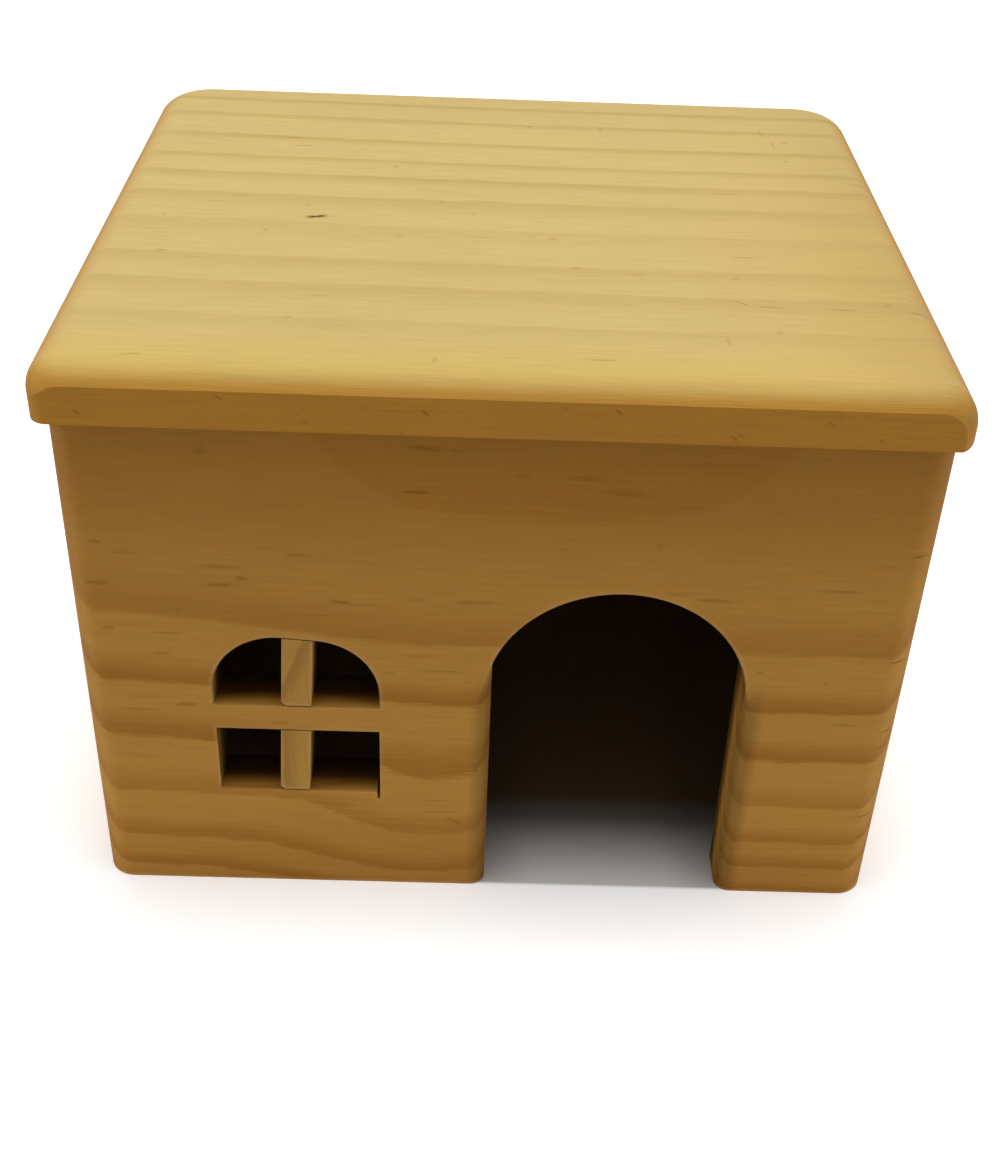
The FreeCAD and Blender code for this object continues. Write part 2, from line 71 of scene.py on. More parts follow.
class RoofFinish(bpy.types.PropertyGroup):
    early: colour("Early Wood", "Pale wood between the growth lines", (0.655, 0.48, 0.177))
    late: colour("Late Wood", "Wood of the growth lines", (0.53, 0.368, 0.103))
    gold: colour("Gold", "Warmer wood along the front of the board", (0.66, 0.475, 0.132))
    # The rim is sawn wood that is darkened also as painted shade; the shoulder is painted shade on
    # the rounded edges.
    rim_and_painted_shade: colour("Rim", "Wood of the upright edges, left by the saw", (0.68, 0.31, 0.040))
    honey: colour("Honey", "Darker wood towards the right of the board", (0.64, 0.44, 0.137))
    shoulder_painted_shade: colour("Shoulder", "Wood of the rounded edges", (0.545, 0.272, 0.037))
    contrast: growth_lines(0.95)
    flecks: amount("Flecks", "How strongly the resin flecks show", 0.35)
    wave: wander(0.9)
    roughness: amount("Roughness", "Roughness of the sanded face", 0.55)


class WallFinish(bpy.types.PropertyGroup):
    early: colour("Early Wood", "Pale wood between the growth lines", (0.68, 0.337, 0.060))
    late: colour("Late Wood", "Wood of the growth lines", (0.475, 0.192, 0.0155))
    # The heart colour darkens the front board under the roof, partly as heart wood and partly as
    # painted shade, and at its foot as a painted contact shadow.
    heart: colour("Heart Wood", "Darker wood of the front board near its heart and its foot",
                  (0.5625, 0.249, 0.038))
    contrast: growth_lines(0.9)
    flecks: amount("Flecks", "How strongly the resin flecks show", 0.6)
    wave: wander(1.6)
    roughness: amount("Roughness", "Roughness of the sanded face", 0.58)


class StickFinish(bpy.types.PropertyGroup):
    early: colour("Early Wood", "Pale wood between the growth lines", (0.66, 0.36, 0.074))
    late: colour("Late Wood", "Wood of the growth lines", (0.43, 0.20, 0.040))
    contrast: growth_lines(0.7)
    flecks: amount("Flecks", "How strongly the resin flecks show", 0.3)
    wave: wander(0.8)
    roughness: amount("Roughness", "Roughness of the sawn face", 0.66)


class DowelFinish(bpy.types.PropertyGroup):
    early: colour("Pale Wood", "Ground colour of the beech", (0.56, 0.33, 0.16))
    late: colour("Dark Wood", "Growth lines of the beech", (0.40, 0.21, 0.09))
    contrast: growth_lines(0.5)
    flecks: amount("Flecks", "How strongly the short rays show", 0.8)
    wave: wander(0.3)
    roughness: amount("Roughness", "Roughness of the turned face", 0.6)


class StudioSetup(bpy.types.PropertyGroup):
    floor_size: FloatProperty(name="Floor Size", description="Side of the square floor",
                              subtype="DISTANCE", unit="LENGTH", min=0.5, default=6.0)
    floor_shade: amount("Floor Shade", "Shade of the floor where the boards see it", 0.8)
    sky: amount("Sky", "Strength of the even light from all round", 0.10, 2.0)
    top_light: FloatProperty(name="Top Light", description="Power of the large light overhead",
                             subtype="POWER", unit="POWER", min=0.0, default=29.0)
    side_light: FloatProperty(name="Side Lights", description="Power of the light on either side",
                              subtype="POWER", unit="POWER", min=0.0, default=1.6)


class CameraSetup(bpy.types.PropertyGroup):
    place: FloatVectorProperty(name="Place", description="Where the camera stands",
                               subtype="TRANSLATION", unit="LENGTH", size=3,
                               default=(-0.00449, -0.30695, 0.24210))
    turn: FloatProperty(name="Turn", description="Turn of the camera about the upright axis",
                        subtype="ANGLE", unit="ROTATION", default=math.radians(-1.146))
    tilt: FloatProperty(name="Tilt", description="Tilt of the camera up from straight down",
                        subtype="ANGLE", unit="ROTATION", default=math.radians(54.763))
    roll: FloatProperty(name="Roll", description="Roll of the camera about its line of sight",
                        subtype="ANGLE", unit="ROTATION", default=math.radians(2.349))
    lens: FloatProperty(name="Lens", description="Focal length on a 36 mm frame, in millimetres",
                        min=10.0, default=49.41)


class HouseSettings(bpy.types.PropertyGroup):
    roof: PointerProperty(type=RoofFinish, name="Roof")
    walls: PointerProperty(type=WallFinish, name="Walls")
    sticks: PointerProperty(type=StickFinish, name="Window Sticks")
    dowels: PointerProperty(type=DowelFinish, name="Dowels")
    studio: PointerProperty(type=StudioSetup, name="Studio")
    camera: PointerProperty(type=CameraSetup, name="Camera")


# ---------------------------------------------------------------- node helpers

def add_node(tree, kind, **settings):
    node = tree.nodes.new(kind)
    for name, value in settings.items():
        setattr(node, name, value)
    return node


def feed(tree, value, socket):
    """Give a socket another socket's output, or a plain value."""
    if isinstance(value, bpy.types.NodeSocket):
        tree.links.new(value, socket)
    else:
        socket.default_value = value


def feed_all(tree, node, **values):
    """Feed a node's sockets; each keyword is the name of one, with _ for a space."""
    for key, value in values.items():
        feed(tree, value, node.inputs[key.replace("_", " ").title()])


def maths(tree, operation, first, second=0.0, third=None, clamp=False):
    node = add_node(tree, "ShaderNodeMath", operation=operation, use_clamp=clamp)
    feed(tree, first, node.inputs[0])
    feed(tree, second, node.inputs[1])
    if third is not None:
        feed(tree, third, node.inputs[2])
    return node.outputs[0]


def vector_maths(tree, operation, first, second=(0.0, 0.0, 0.0)):
    node = add_node(tree, "ShaderNodeVectorMath", operation=operation)
    feed(tree, first, node.inputs[0])
    feed(tree, second, node.inputs[1])
    return node.outputs["Value" if operation in ("DOT_PRODUCT", "LENGTH") else "Vector"]


def smooth_step(tree, value, low, high, to_low=0.0, to_high=1.0):
    """Smooth ramp from one value to another while the input goes from low to high."""
    node = add_node(tree, "ShaderNodeMapRange", interpolation_type="SMOOTHSTEP")
    feed_all(tree, node, value=value, from_min=low, from_max=high, to_min=to_low, to_max=to_high)
    return node.outputs["Result"]


def split(tree, vector):
    node = add_node(tree, "ShaderNodeSeparateXYZ")
    feed(tree, vector, node.inputs[0])
    return tuple(node.outputs)


def join(tree, x, y, z):
    node = add_node(tree, "ShaderNodeCombineXYZ")
    for socket, item in zip(node.inputs, (x, y, z)):
        feed(tree, item, socket)
    return node.outputs[0]


def noise(tree, vector, scale, detail=2.0, rough=0.5):
    """Noise from about -1 to 1 on the vector times the scale."""
    place = vector_maths(tree, "MULTIPLY", vector, scale)
    node = add_node(tree, "ShaderNodeTexNoise")
    feed_all(tree, node, vector=place, scale=1.0, detail=detail, roughness=rough)
    return maths(tree, "MULTIPLY_ADD", node.outputs["Fac"], 2.0, -1.0)


def mix(tree, share, first, second, kind="RGBA"):
    """Mix of two colours."""
    node = add_node(tree, "ShaderNodeMix", data_type=kind)
    feed(tree, share, node.inputs["Factor"])
    feed(tree, first, node.inputs["A"])
    feed(tree, second, node.inputs["B"])
    return node.outputs["Result"]


def mix_value(tree, share, first, second):
    """Mix of two values."""
    return mix(tree, share, first, second, "FLOAT")


def opaque(rgb):
    return (*rgb, 1.0)


def new_group(name, inputs, outputs):
    """Empty node group with named sockets, its input sockets and its output sockets."""
    group = bpy.data.node_groups.new(name, "ShaderNodeTree")
    for label, kind, default in inputs:
        socket = group.interface.new_socket(label, in_out="INPUT", socket_type="NodeSocket" + kind)
        if default is not None:
            socket.default_value = default
    for label, kind in outputs:
        group.interface.new_socket(label, in_out="OUTPUT", socket_type="NodeSocket" + kind)
    start = group.nodes.new("NodeGroupInput")
    end = group.nodes.new("NodeGroupOutput")
    return group, start.outputs, end.inputs


def place_group(tree, name, **values):
    """Put a group into a tree; the keywords are its inputs."""
    node = add_node(tree, "ShaderNodeGroup", node_tree=bpy.data.node_groups[name], label=name)
    feed_all(tree, node, **values)
    return node.outputs


# ---------------------------------------------------------------- shared effects

BOARD = ("Board", "Vector", None)

# Scales of the noises, per millimetre along the grain, across it and out of the board.
SLOW_WANDER = (0.014, 0.035, 0.04)
SMALL_WANDER = (0.05, 0.09, 0.1)
RIPPLES = (0.13, 1.6, 1.6)
PATCHES = (0.03, 0.08, 0.08)
HAIRS = (0.11, 3.6, 3.6)
THREADS = (0.05, 1.1, 1.1)
STREAKS = (0.02, 0.42, 0.42)
BLOTCHES = (0.018, 0.04, 0.04)
FLECK_WOBBLE = (0.2, 0.4, 0.4)
FLECK_CLUSTERS = (0.02, 0.06, 0.06)
MARK_WOBBLE = (0.9, 0.9, 0.9)
EDGE_WEAR = (0.3, 0.5, 0.5)
OPEN_PORES = (1.5, 4.5, 4.5)
SAW_TEETH = (0.9, 0.05, 0.05)

# Rings and flecks, with the depth of a fleck's cell in millimetres.
PALEST_RING = 0.65
LATE_CURVE = 1.15
PATCHINESS = 0.35
FLECK_DEPTH = 8.0
SMALLEST_FLECK, FLECK_SPREAD = 0.12, 0.20
FLECK_COLOUR = opaque((0.24, 0.08, 0.001))
RESIN_COLOUR = opaque((0.27, 0.09, 0.001))
PITCH_COLOUR = opaque((0.05, 0.018, 0.002))
# Pale lifted fibres on the arrises, also a painted highlight where an arris faces down.
LIFTED_FIBRES_HIGHLIGHT = opaque((0.80, 0.50, 0.22))
LIFTED_SHARE = 0.8

# Ramps over noise, masks and the way that a face looks: where each starts and ends, and then its two
# values unless they are 0 and 1.
FLECK_CLUSTERING = (-0.35, 0.35, 0.15, 1.9)
ROUNDED_EDGE = (0.995, 0.93)
UNEVEN_EDGE = (-0.7, 0.5, 0.35, 1.0)
EDGE_FACING_DOWN = (0.2, -0.2, 0.2, 1.0)
ACROSS_THE_GRAIN = (0.45, 0.95)
PORE_MOUTHS = (0.15, 0.75)
FAR_SIDE = (-0.5, -0.9)
HEART_OF_MARK = (0.5, 0.9)

# How much each mask adds to the late wood, the shade, the roughness and the relief of a board.
LATE_WEIGHTS = {"Streaks": 0.13, "Ring Tone": 0.02}
# Sawn darkens the far faces as rough-sawn wood and as painted shade of the dark inside of the house.
SHADE_WEIGHTS = {"Fibres": 0.12, "Blotches": 0.055, "End": -0.2, "Pores": -0.25, "Sawn": -0.65}
ROUGH_WEIGHTS = {"Fibres": 0.04, "Late Wood": -0.06, "End": 0.12, "Edge": 0.1}
RELIEF_WEIGHTS = {"Late Wood": 0.12, "Flecks": -1.2, "Pores": -1.5}


def add_masks(tree, masks, weights, start):
    """Add masks to a start value, each times its weight."""
    for mask, weight in weights.items():
        start = maths(tree, "MULTIPLY_ADD", masks[mask], weight, start)
    return start


def make_grain_flow():
    """How far across the board a point of the grain lies, with the wander of the grain taken in.

    A board point is along the grain, across it, and up out of the board's outer face.
    """
    group, given, out = new_group(
        "Grain Flow",
        [BOARD, ("Lean", "Float", 0.0), ("Wave", "Float", 1.0),
         ("Ripple", "Float", 1.5)],
        [("Across", "Float")])
    across, up = split(group, given["Board"])[1:]
    leaned = maths(group, "MULTIPLY_ADD", up, given["Lean"], across)
    slow = noise(group, given["Board"], SLOW_WANDER, detail=1.5)
    small = noise(group, given["Board"], SMALL_WANDER)
    fine = noise(group, given["Board"], RIPPLES, detail=4.0, rough=0.65)
    wander = maths(group, "MULTIPLY_ADD", small, 0.3, slow)
    moved = maths(group, "MULTIPLY_ADD", wander, given["Wave"], leaned)
    feed(group, maths(group, "MULTIPLY_ADD", fine, given["Ripple"], moved), out["Across"])


def make_growth_rings():
    """Early wood darkening slowly into late wood, which ends at a sharp edge, once a ring."""
    group, given, out = new_group(
        "Growth Rings",
        [("Ring", "Float", 0.0), ("Onset", "Float", 0.3), ("Edge", "Float", 0.05),
         BOARD],
        [("Late Wood", "Float"), ("Ring Tone", "Float")])
    part = maths(group, "FRACT", given["Ring"])
    number = maths(group, "FLOOR", given["Ring"])
    crest = maths(group, "SUBTRACT", 1.0, given["Edge"])
    rise = smooth_step(group, part, given["Onset"], crest)
    rise = maths(group, "POWER", rise, LATE_CURVE)
    fall = smooth_step(group, part, crest, 1.0, 1.0, 0.0)
    # No two rings are equally dark, and no ring is equally dark all along.
    chance = add_node(group, "ShaderNodeTexWhiteNoise", noise_dimensions="1D")
    feed(group, number, chance.inputs["W"])
    strength = maths(group, "MULTIPLY_ADD", chance.outputs["Value"], 1.0 - PALEST_RING, PALEST_RING)
    patchy = noise(group, given["Board"], PATCHES)
    patchy = maths(group, "MULTIPLY_ADD", patchy, PATCHINESS, 1.0)
    late = maths(group, "MULTIPLY", maths(group, "MULTIPLY", rise, fall),
                 maths(group, "MULTIPLY", strength, patchy), clamp=True)
    feed(group, late, out["Late Wood"])
    feed(group, maths(group, "MULTIPLY_ADD", chance.outputs["Value"], 2.0, -1.0), out["Ring Tone"])


def make_wood_fibres():
    """Fine streaks that run along the grain, and the slow blotches of the board."""
    group, given, out = new_group(
        "Wood Fibres",
        [BOARD],
        [("Fibres", "Float"), ("Streaks", "Float"), ("Blotches", "Float")])
    hair = noise(group, given["Board"], HAIRS, detail=3.0, rough=0.65)
    thread = noise(group, given["Board"], THREADS, rough=0.6)
    feed(group, maths(group, "MULTIPLY_ADD", thread, 0.8, hair), out["Fibres"])
    feed(group, noise(group, given["Board"], STREAKS, detail=2.5), out["Streaks"])
    feed(group, noise(group, given["Board"], BLOTCHES, detail=3.0), out["Blotches"])


def make_resin_flecks():
    """Short dark dashes along the grain, thinly scattered, a few of them long."""
    group, given, out = new_group(
        "Resin Flecks",
        [BOARD, ("Length", "Float", 15.0), ("Height", "Float", 1.7),
         ("Share", "Float", 0.3)],
        [("Flecks", "Float")])
    along, across, up = split(group, given["Board"])
    wobble = noise(group, given["Board"], FLECK_WOBBLE)
    across = maths(group, "MULTIPLY_ADD", wobble, 0.25, across)
    cell = join(group, maths(group, "DIVIDE", along, given["Length"]),
                maths(group, "DIVIDE", across, given["Height"]),
                maths(group, "DIVIDE", up, FLECK_DEPTH))
    cells = add_node(group, "ShaderNodeTexVoronoi", feature="F1", distance="EUCLIDEAN")
    feed_all(group, cells, vector=cell, scale=1.0)
    # Each cell's own colour chooses whether it holds a fleck, how large and how dark it is.
    red, green, blue = split(group, cells.outputs["Color"])
    size = maths(group, "MULTIPLY_ADD", maths(group, "POWER", green, 2.0), FLECK_SPREAD,
                 SMALLEST_FLECK)
    core = maths(group, "MULTIPLY", size, 0.35)
    spot = smooth_step(group, cells.outputs["Distance"], core, size, 1.0, 0.0)
    clusters = noise(group, given["Board"], FLECK_CLUSTERS)
    clusters = smooth_step(group, clusters, *FLECK_CLUSTERING)
    chosen = maths(group, "LESS_THAN", red, maths(group, "MULTIPLY", clusters, given["Share"]))
    depth = maths(group, "MULTIPLY_ADD", blue, 0.6, 0.4)
    feed(group, maths(group, "MULTIPLY", maths(group, "MULTIPLY", spot, chosen), depth),
         out["Flecks"])


def make_sanded_edges():
    """Mask of the arrises with lifted fibres and a painted highlight on them, more of them where an
    arris faces down.
    """
    group, given, out = new_group(
        "Sanded Edges",
        [("Radius", "Float", 0.0013), BOARD],
        [("Edge", "Float")])
    round_over = add_node(group, "ShaderNodeBevel", samples=4)
    feed(group, given["Radius"], round_over.inputs["Radius"])
    surface = add_node(group, "ShaderNodeNewGeometry")
    turned = vector_maths(group, "DOT_PRODUCT", round_over.outputs[0], surface.outputs["Normal"])
    edge = smooth_step(group, turned, *ROUNDED_EDGE)
    uneven = noise(group, given["Board"], EDGE_WEAR, detail=3.0)
    uneven = smooth_step(group, uneven, *UNEVEN_EDGE)
    lifted = smooth_step(group, split(group, round_over.outputs[0])[2], *EDGE_FACING_DOWN)
    feed(group, maths(group, "MULTIPLY", edge, maths(group, "MULTIPLY", uneven, lifted)),
         out["Edge"])


def make_end_grain():
    """Mask of the faces that the saw cut across the grain, and the open pores there."""
    group, given, out = new_group(
        "End Grain",
        [("Grain", "Vector", (1.0, 0.0, 0.0)), BOARD],
        [("End", "Float"), ("Pores", "Float")])
    surface = add_node(group, "ShaderNodeTexCoord")
    facing = maths(group, "ABSOLUTE", vector_maths(
        group, "DOT_PRODUCT", surface.outputs["Normal"], given["Grain"]))
    end = smooth_step(group, facing, *ACROSS_THE_GRAIN)
    feed(group, end, out["End"])
    pores = noise(group, given["Board"], OPEN_PORES, rough=0.7)
    pores = smooth_step(group, pores, *PORE_MOUTHS)
    feed(group, maths(group, "MULTIPLY", end, pores), out["Pores"])


def far_face(tree, outward):
    """Mask of the faces that look away from the board's outer side."""
    surface = add_node(tree, "ShaderNodeTexCoord")
    facing = vector_maths(tree, "DOT_PRODUCT", surface.outputs["Normal"], outward)
    return smooth_step(tree, facing, *FAR_SIDE)


def make_sawn_face():
    """Mask of the face on the far side of the board, left as the saw cut it. Its darkening stands
    partly for rough-sawn wood and partly for painted shade of the dark inside of the house.
    """
    group, given, out = new_group(
        "Sawn Face",
        [("Outward", "Vector", (0.0, 0.0, 1.0)), BOARD],
        [("Sawn", "Float")])
    teeth = noise(group, given["Board"], SAW_TEETH)
    feed(group, maths(group, "MULTIPLY", far_face(group, given["Outward"]),
                      maths(group, "MULTIPLY_ADD", teeth, 0.25, 0.85)), out["Sawn"])


def make_pine_wood():
    """Colour, roughness and relief of a planed board from its masks."""
    group, given, out = new_group(
        "Pine Wood",
        [(name, "Color", None) for name in ("Early", "Late")] +
        [(name, "Float", 0.0) for name in (
            "Late Wood", "Ring Tone", "Contrast", "Fibres", "Streaks", "Blotches", "Flecks",
            "Fleck Strength", "Marks", "Edge", "End", "Pores", "Sawn", "Tone", "Rough")],
        [("Colour", "Color"), ("Roughness", "Float"), ("Relief", "Float")])
    late = maths(group, "MULTIPLY", given["Late Wood"], given["Contrast"])
    late = maths(group, "MAXIMUM", add_masks(group, given, LATE_WEIGHTS, late), 0.0, clamp=True)
    wood = mix(group, late, given["Early"], given["Late"])
    fleck = maths(group, "MULTIPLY", given["Flecks"], given["Fleck Strength"])
    wood = mix(group, fleck, wood, FLECK_COLOUR)
    heart = smooth_step(group, given["Marks"], *HEART_OF_MARK)
    pitch = mix(group, heart, RESIN_COLOUR, PITCH_COLOUR)
    wood = mix(group, given["Marks"], wood, pitch)
    wood = mix(group, maths(group, "MULTIPLY", given["Edge"], LIFTED_SHARE), wood, LIFTED_FIBRES_HIGHLIGHT)
    shade = maths(group, "MULTIPLY", add_masks(group, given, SHADE_WEIGHTS, 1.0), given["Tone"])
    node = add_node(group, "ShaderNodeVectorMath", operation="SCALE")
    feed(group, wood, node.inputs[0])
    feed(group, shade, node.inputs["Scale"])
    feed(group, node.outputs[0], out["Colour"])
    feed(group, add_masks(group, given, ROUGH_WEIGHTS, given["Rough"]), out["Roughness"])
    feed(group, add_masks(group, given, RELIEF_WEIGHTS, given["Fibres"]), out["Relief"])


def make_surface_mark():
    """Adds one short straight mark in the board's outer face to the mask of the marks so far."""
    group, given, out = new_group(
        "Surface Mark",
        [BOARD, ("Wobble", "Float", 0.0), ("Middle", "Vector", None),
         ("Turn", "Float", 0.0), ("Length", "Float", 3.0), ("Width", "Float", 0.4),
         ("Strength", "Float", 0.5), ("Marks", "Float", 0.0)],
        [("Marks", "Float")])
    apart = vector_maths(group, "SUBTRACT", given["Board"], given["Middle"])
    back = maths(group, "MULTIPLY", given["Turn"], -1.0)
    turn = add_node(group, "ShaderNodeVectorRotate", rotation_type="Z_AXIS")
    feed_all(group, turn, vector=apart, angle=back)
    along, across, up = split(group, turn.outputs[0])
    reach = maths(group, "MULTIPLY_ADD", given["Length"], 0.5, 0.2)
    taper = smooth_step(group, maths(group, "ABSOLUTE", along),
                        maths(group, "MULTIPLY", reach, 0.2), reach, 1.0, 0.0)
    width = maths(group, "MULTIPLY", given["Width"], 1.05)
    across = maths(group, "MULTIPLY_ADD", given["Wobble"], maths(group, "MULTIPLY", width, 0.7),
                   across)
    apart = vector_maths(group, "LENGTH", join(group, 0.0, across, up))
    mark = smooth_step(group, apart, maths(group, "MULTIPLY", width, 0.15), width, 1.0, 0.0)
    mark = maths(group, "MULTIPLY", mark, maths(group, "MULTIPLY", taper, given["Strength"]))
    feed(group, maths(group, "MAXIMUM", mark, given["Marks"]), out["Marks"])


EFFECTS = (make_grain_flow, make_growth_rings, make_wood_fibres, make_resin_flecks,
           make_sanded_edges, make_end_grain, make_sawn_face, make_pine_wood, make_surface_mark)


def make_effects():
    """Build the shared node groups once."""
    if "Grain Flow" not in bpy.data.node_groups:
        for effect in EFFECTS:
            effect()


# ---------------------------------------------------------------- boards

RELIEF_DEPTH = 0.00003
SHEEN = 0.12


def board_points(tree, rows, outer):
    """Board point in millimetres: rows are the grain, the way across and the way out of the
    outer face, and outer is where that face lies on the last of them, in metres."""
    place = add_node(tree, "ShaderNodeTexCoord")
    turn = add_node(tree, "ShaderNodeMapping", vector_type="POINT")
    feed(tree, place.outputs["Object"], turn.inputs["Vector"])
    turn.inputs["Scale"].default_value = (TO_MM, TO_MM, TO_MM)
    turn.inputs["Rotation"].default_value = Matrix(rows).to_euler()
    turn.inputs["Location"].default_value = (0.0, 0.0, -outer * TO_MM)
    return turn.outputs["Vector"]


def ring_number(tree, across, lines):
    """Number of the ring that a place across the board lies in, from listed lines."""
    low, high = lines[0][0], lines[-1][0]
    first, last = min(line[1] for line in lines), max(line[1] for line in lines)
    share = add_node(tree, "ShaderNodeMapRange", clamp=True)
    feed_all(tree, share, value=across, from_min=low, from_max=high)
    curve = add_node(tree, "ShaderNodeFloatCurve")
    points = curve.mapping.curves[0].points
    for number, (place, ring) in enumerate(lines):
        spot = ((place - low) / (high - low), (ring - first) / (last - first))
        if 0 < number < len(lines) - 1:
            points.new(*spot)
        else:
            points[0 if number == 0 else len(points) - 1].location = spot
    curve.mapping.update()
    feed(tree, share.outputs["Result"], curve.inputs["Value"])
    return maths(tree, "MULTIPLY_ADD", curve.outputs["Value"], last - first, first)


def new_material(name):
    """Material with its node tree and its shader."""
    material = bpy.data.materials.new(name)
    material.use_nodes = True
    return material, material.node_tree, material.node_tree.nodes["Principled BSDF"]


def dress_wood(tree, shader, look, board, ring, axes, onset, fleck_share, edge=0.1, marks=0.0,
               early=None, late=None, contrast=None, tone=1.0, worn=True):
    """Wire the shared effects for one board into its shader."""
    early = opaque(look.early) if early is None else early
    late = opaque(look.late) if late is None else late
    contrast = look.contrast if contrast is None else contrast
    rings = place_group(tree, "Growth Rings", ring=ring, onset=onset, edge=edge, board=board)
    fibres = place_group(tree, "Wood Fibres", board=board)
    flecks = place_group(tree, "Resin Flecks", board=board, share=fleck_share)["Flecks"]
    edge_wear_and_highlight = place_group(tree, "Sanded Edges", board=board)["Edge"] if worn else 0.0
    ends = place_group(tree, "End Grain", grain=axes[0], board=board)
    sawn = place_group(tree, "Sawn Face", outward=axes[2], board=board)["Sawn"]
    wood = place_group(
        tree, "Pine Wood", early=early, late=late,
        late_wood=rings["Late Wood"], ring_tone=rings["Ring Tone"], contrast=contrast,
        fibres=fibres["Fibres"], streaks=fibres["Streaks"], blotches=fibres["Blotches"],
        flecks=flecks, fleck_strength=look.flecks, marks=marks, edge=edge_wear_and_highlight,
        end=ends["End"], pores=ends["Pores"], sawn=sawn, tone=tone, rough=look.roughness)
    bumps = add_node(tree, "ShaderNodeBump")
    feed_all(tree, bumps, strength=1.0, distance=RELIEF_DEPTH, height=wood["Relief"])
    feed(tree, wood["Colour"], shader.inputs["Base Color"])
    feed(tree, wood["Roughness"], shader.inputs["Roughness"])
    feed(tree, bumps.outputs["Normal"], shader.inputs["Normal"])
    shader.inputs["Specular IOR Level"].default_value = SHEEN


def give_material(node_name, material):
    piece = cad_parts[node_name]
    piece.data.materials.clear()
    piece.data.materials.append(material)


# Rows of a board's own axes: along the grain, across it, out of its outer face.
ROOF_AXES = ((1, 0, 0), (0, 1, 0), (0, 0, 1))
FRONT_AXES = ((1, 0, 0), (0, 0, 1), (0, -1, 0))
BACK_AXES = ((-1, 0, 0), (0, 0, 1), (0, 1, 0))
LEFT_AXES = ((0, -1, 0), (0, 0, 1), (-1, 0, 0))
RIGHT_AXES = ((0, 1, 0), (0, 0, 1), (1, 0, 0))
STICK_AXES = ((0, 0, 1), (-1, 0, 0), (0, -1, 0))
LYING_DOWEL_AXES = ((0, 1, 0), (0, 0, 1), (1, 0, 0))
STANDING_DOWEL_AXES = ((0, 0, 1), (1, 0, 0), (0, 1, 0))

# Places across each board, in millimetres, and the ring number reached there. A ring ends wherever
# that number is whole.
ROOF_LINES = [(-82, 0), (-65.5, 1), (-51, 2), (-37, 3), (-25.5, 4), (-9, 5), (5, 6),
              (16.5, 7), (26.3, 8), (38.5, 9), (51.9, 10), (62.2, 11), (74, 12), (84, 13)]
FRONT_LINES = [(-30, 11), (-15, 9.4), (-1, 8), (6.5, 7), (13.5, 6), (23.5, 5), (35, 4), (47, 3),
               (60.8, 2), (88.5, 1), (150, 0)]
BACK_LINES = [(-30, 13), (4, 10), (13, 9), (24, 8), (33, 7), (45, 6), (55, 5), (69, 4), (80, 3),
              (95, 2), (112, 1), (130, 0)]
LEFT_LINES = [(-30, 0), (6, 3), (19, 4), (30, 5), (38, 6), (52, 7), (63, 8), (78, 9), (94, 10),
              (130, 13)]
RIGHT_LINES = [(-30, 12), (2, 10), (16, 9), (25, 8), (40, 7), (51, 6), (60, 5), (75, 4), (86, 3),
               (100, 2), (130, 0)]


# Small marks of the boards: middle along and across it, length and width in millimetres, turn in
# degrees, strength.
ROOF_MARKS = (
    (-37.8, -5.5, 5.6, 0.95, 14, 1.6), (58, 50, 3, 0.4, -70, 0.5), (59.6, 43.5, 6, 0.3, -84, 0.6),
    (62.6, 45.3, 2, 0.5, 10, 0.6), (57.6, 51.6, 1.2, 0.7, 80, 0.5), (61, 33.6, 1, 0.5, 70, 0.6),
    (21.1, 49.6, 1.8, 0.5, 80, 0.5), (5, 50.3, 1.6, 0.8, 0, 0.4), (-23.8, 23, 1.4, 0.8, 10, 0.6),
    (-65.2, -24, 2.4, 0.7, -8, 0.5), (-67.8, -6.7, 0.9, 0.5, 60, 0.6), (-40, 0.2, 1.6, 0.6, 30, 0.4),
    (-13.2, 3.8, 1.6, 0.8, 0, 0.4), (-6.8, -1.5, 1.2, 0.6, 0, 0.35), (13.2, -26.2, 2.4, 0.7, 0, 0.5),
    (24, -28.2, 5, 0.7, 0, 0.35), (42.8, -28.6, 2.6, 0.6, 12, 0.4), (42.6, -39.2, 4.2, 0.4, -38, 0.6),
    (47.5, -40.5, 5, 0.6, 0, 0.4), (21.8, -41.6, 4, 0.4, 8, 0.35), (69.6, -38.4, 1.4, 0.8, 70, 0.4),
    (48, -50.8, 2, 0.6, 25, 0.4), (38.6, -55, 4, 0.5, 88, 0.3), (28.2, -11, 1.6, 0.7, 0, 0.35),
    (9, -12.8, 2.6, 0.8, 0, 0.4), (4.6, -12, 2.2, 0.6, 0, 0.35), (-47.2, -12.8, 1.4, 0.8, 60, 0.35),
    (-21, -14, 1.4, 0.8, 40, 0.35), (-38.5, -50.8, 2.2, 0.6, 0, 0.4), (-34, -41.6, 3.4, 0.5, 0, 0.35),
    (-12.2, -65.4, 2.4, 0.6, 70, 0.4), (-63, -66.4, 5, 0.5, 8, 0.4), (-47, 38.4, 6, 0.5, -4, 0.4),
    (-65, 36.4, 1.4, 0.6, 0, 0.4), (-54, 4, 5, 0.5, 0, 0.4), (-58.5, -26.8, 3.6, 0.5, 0, 0.3),
)
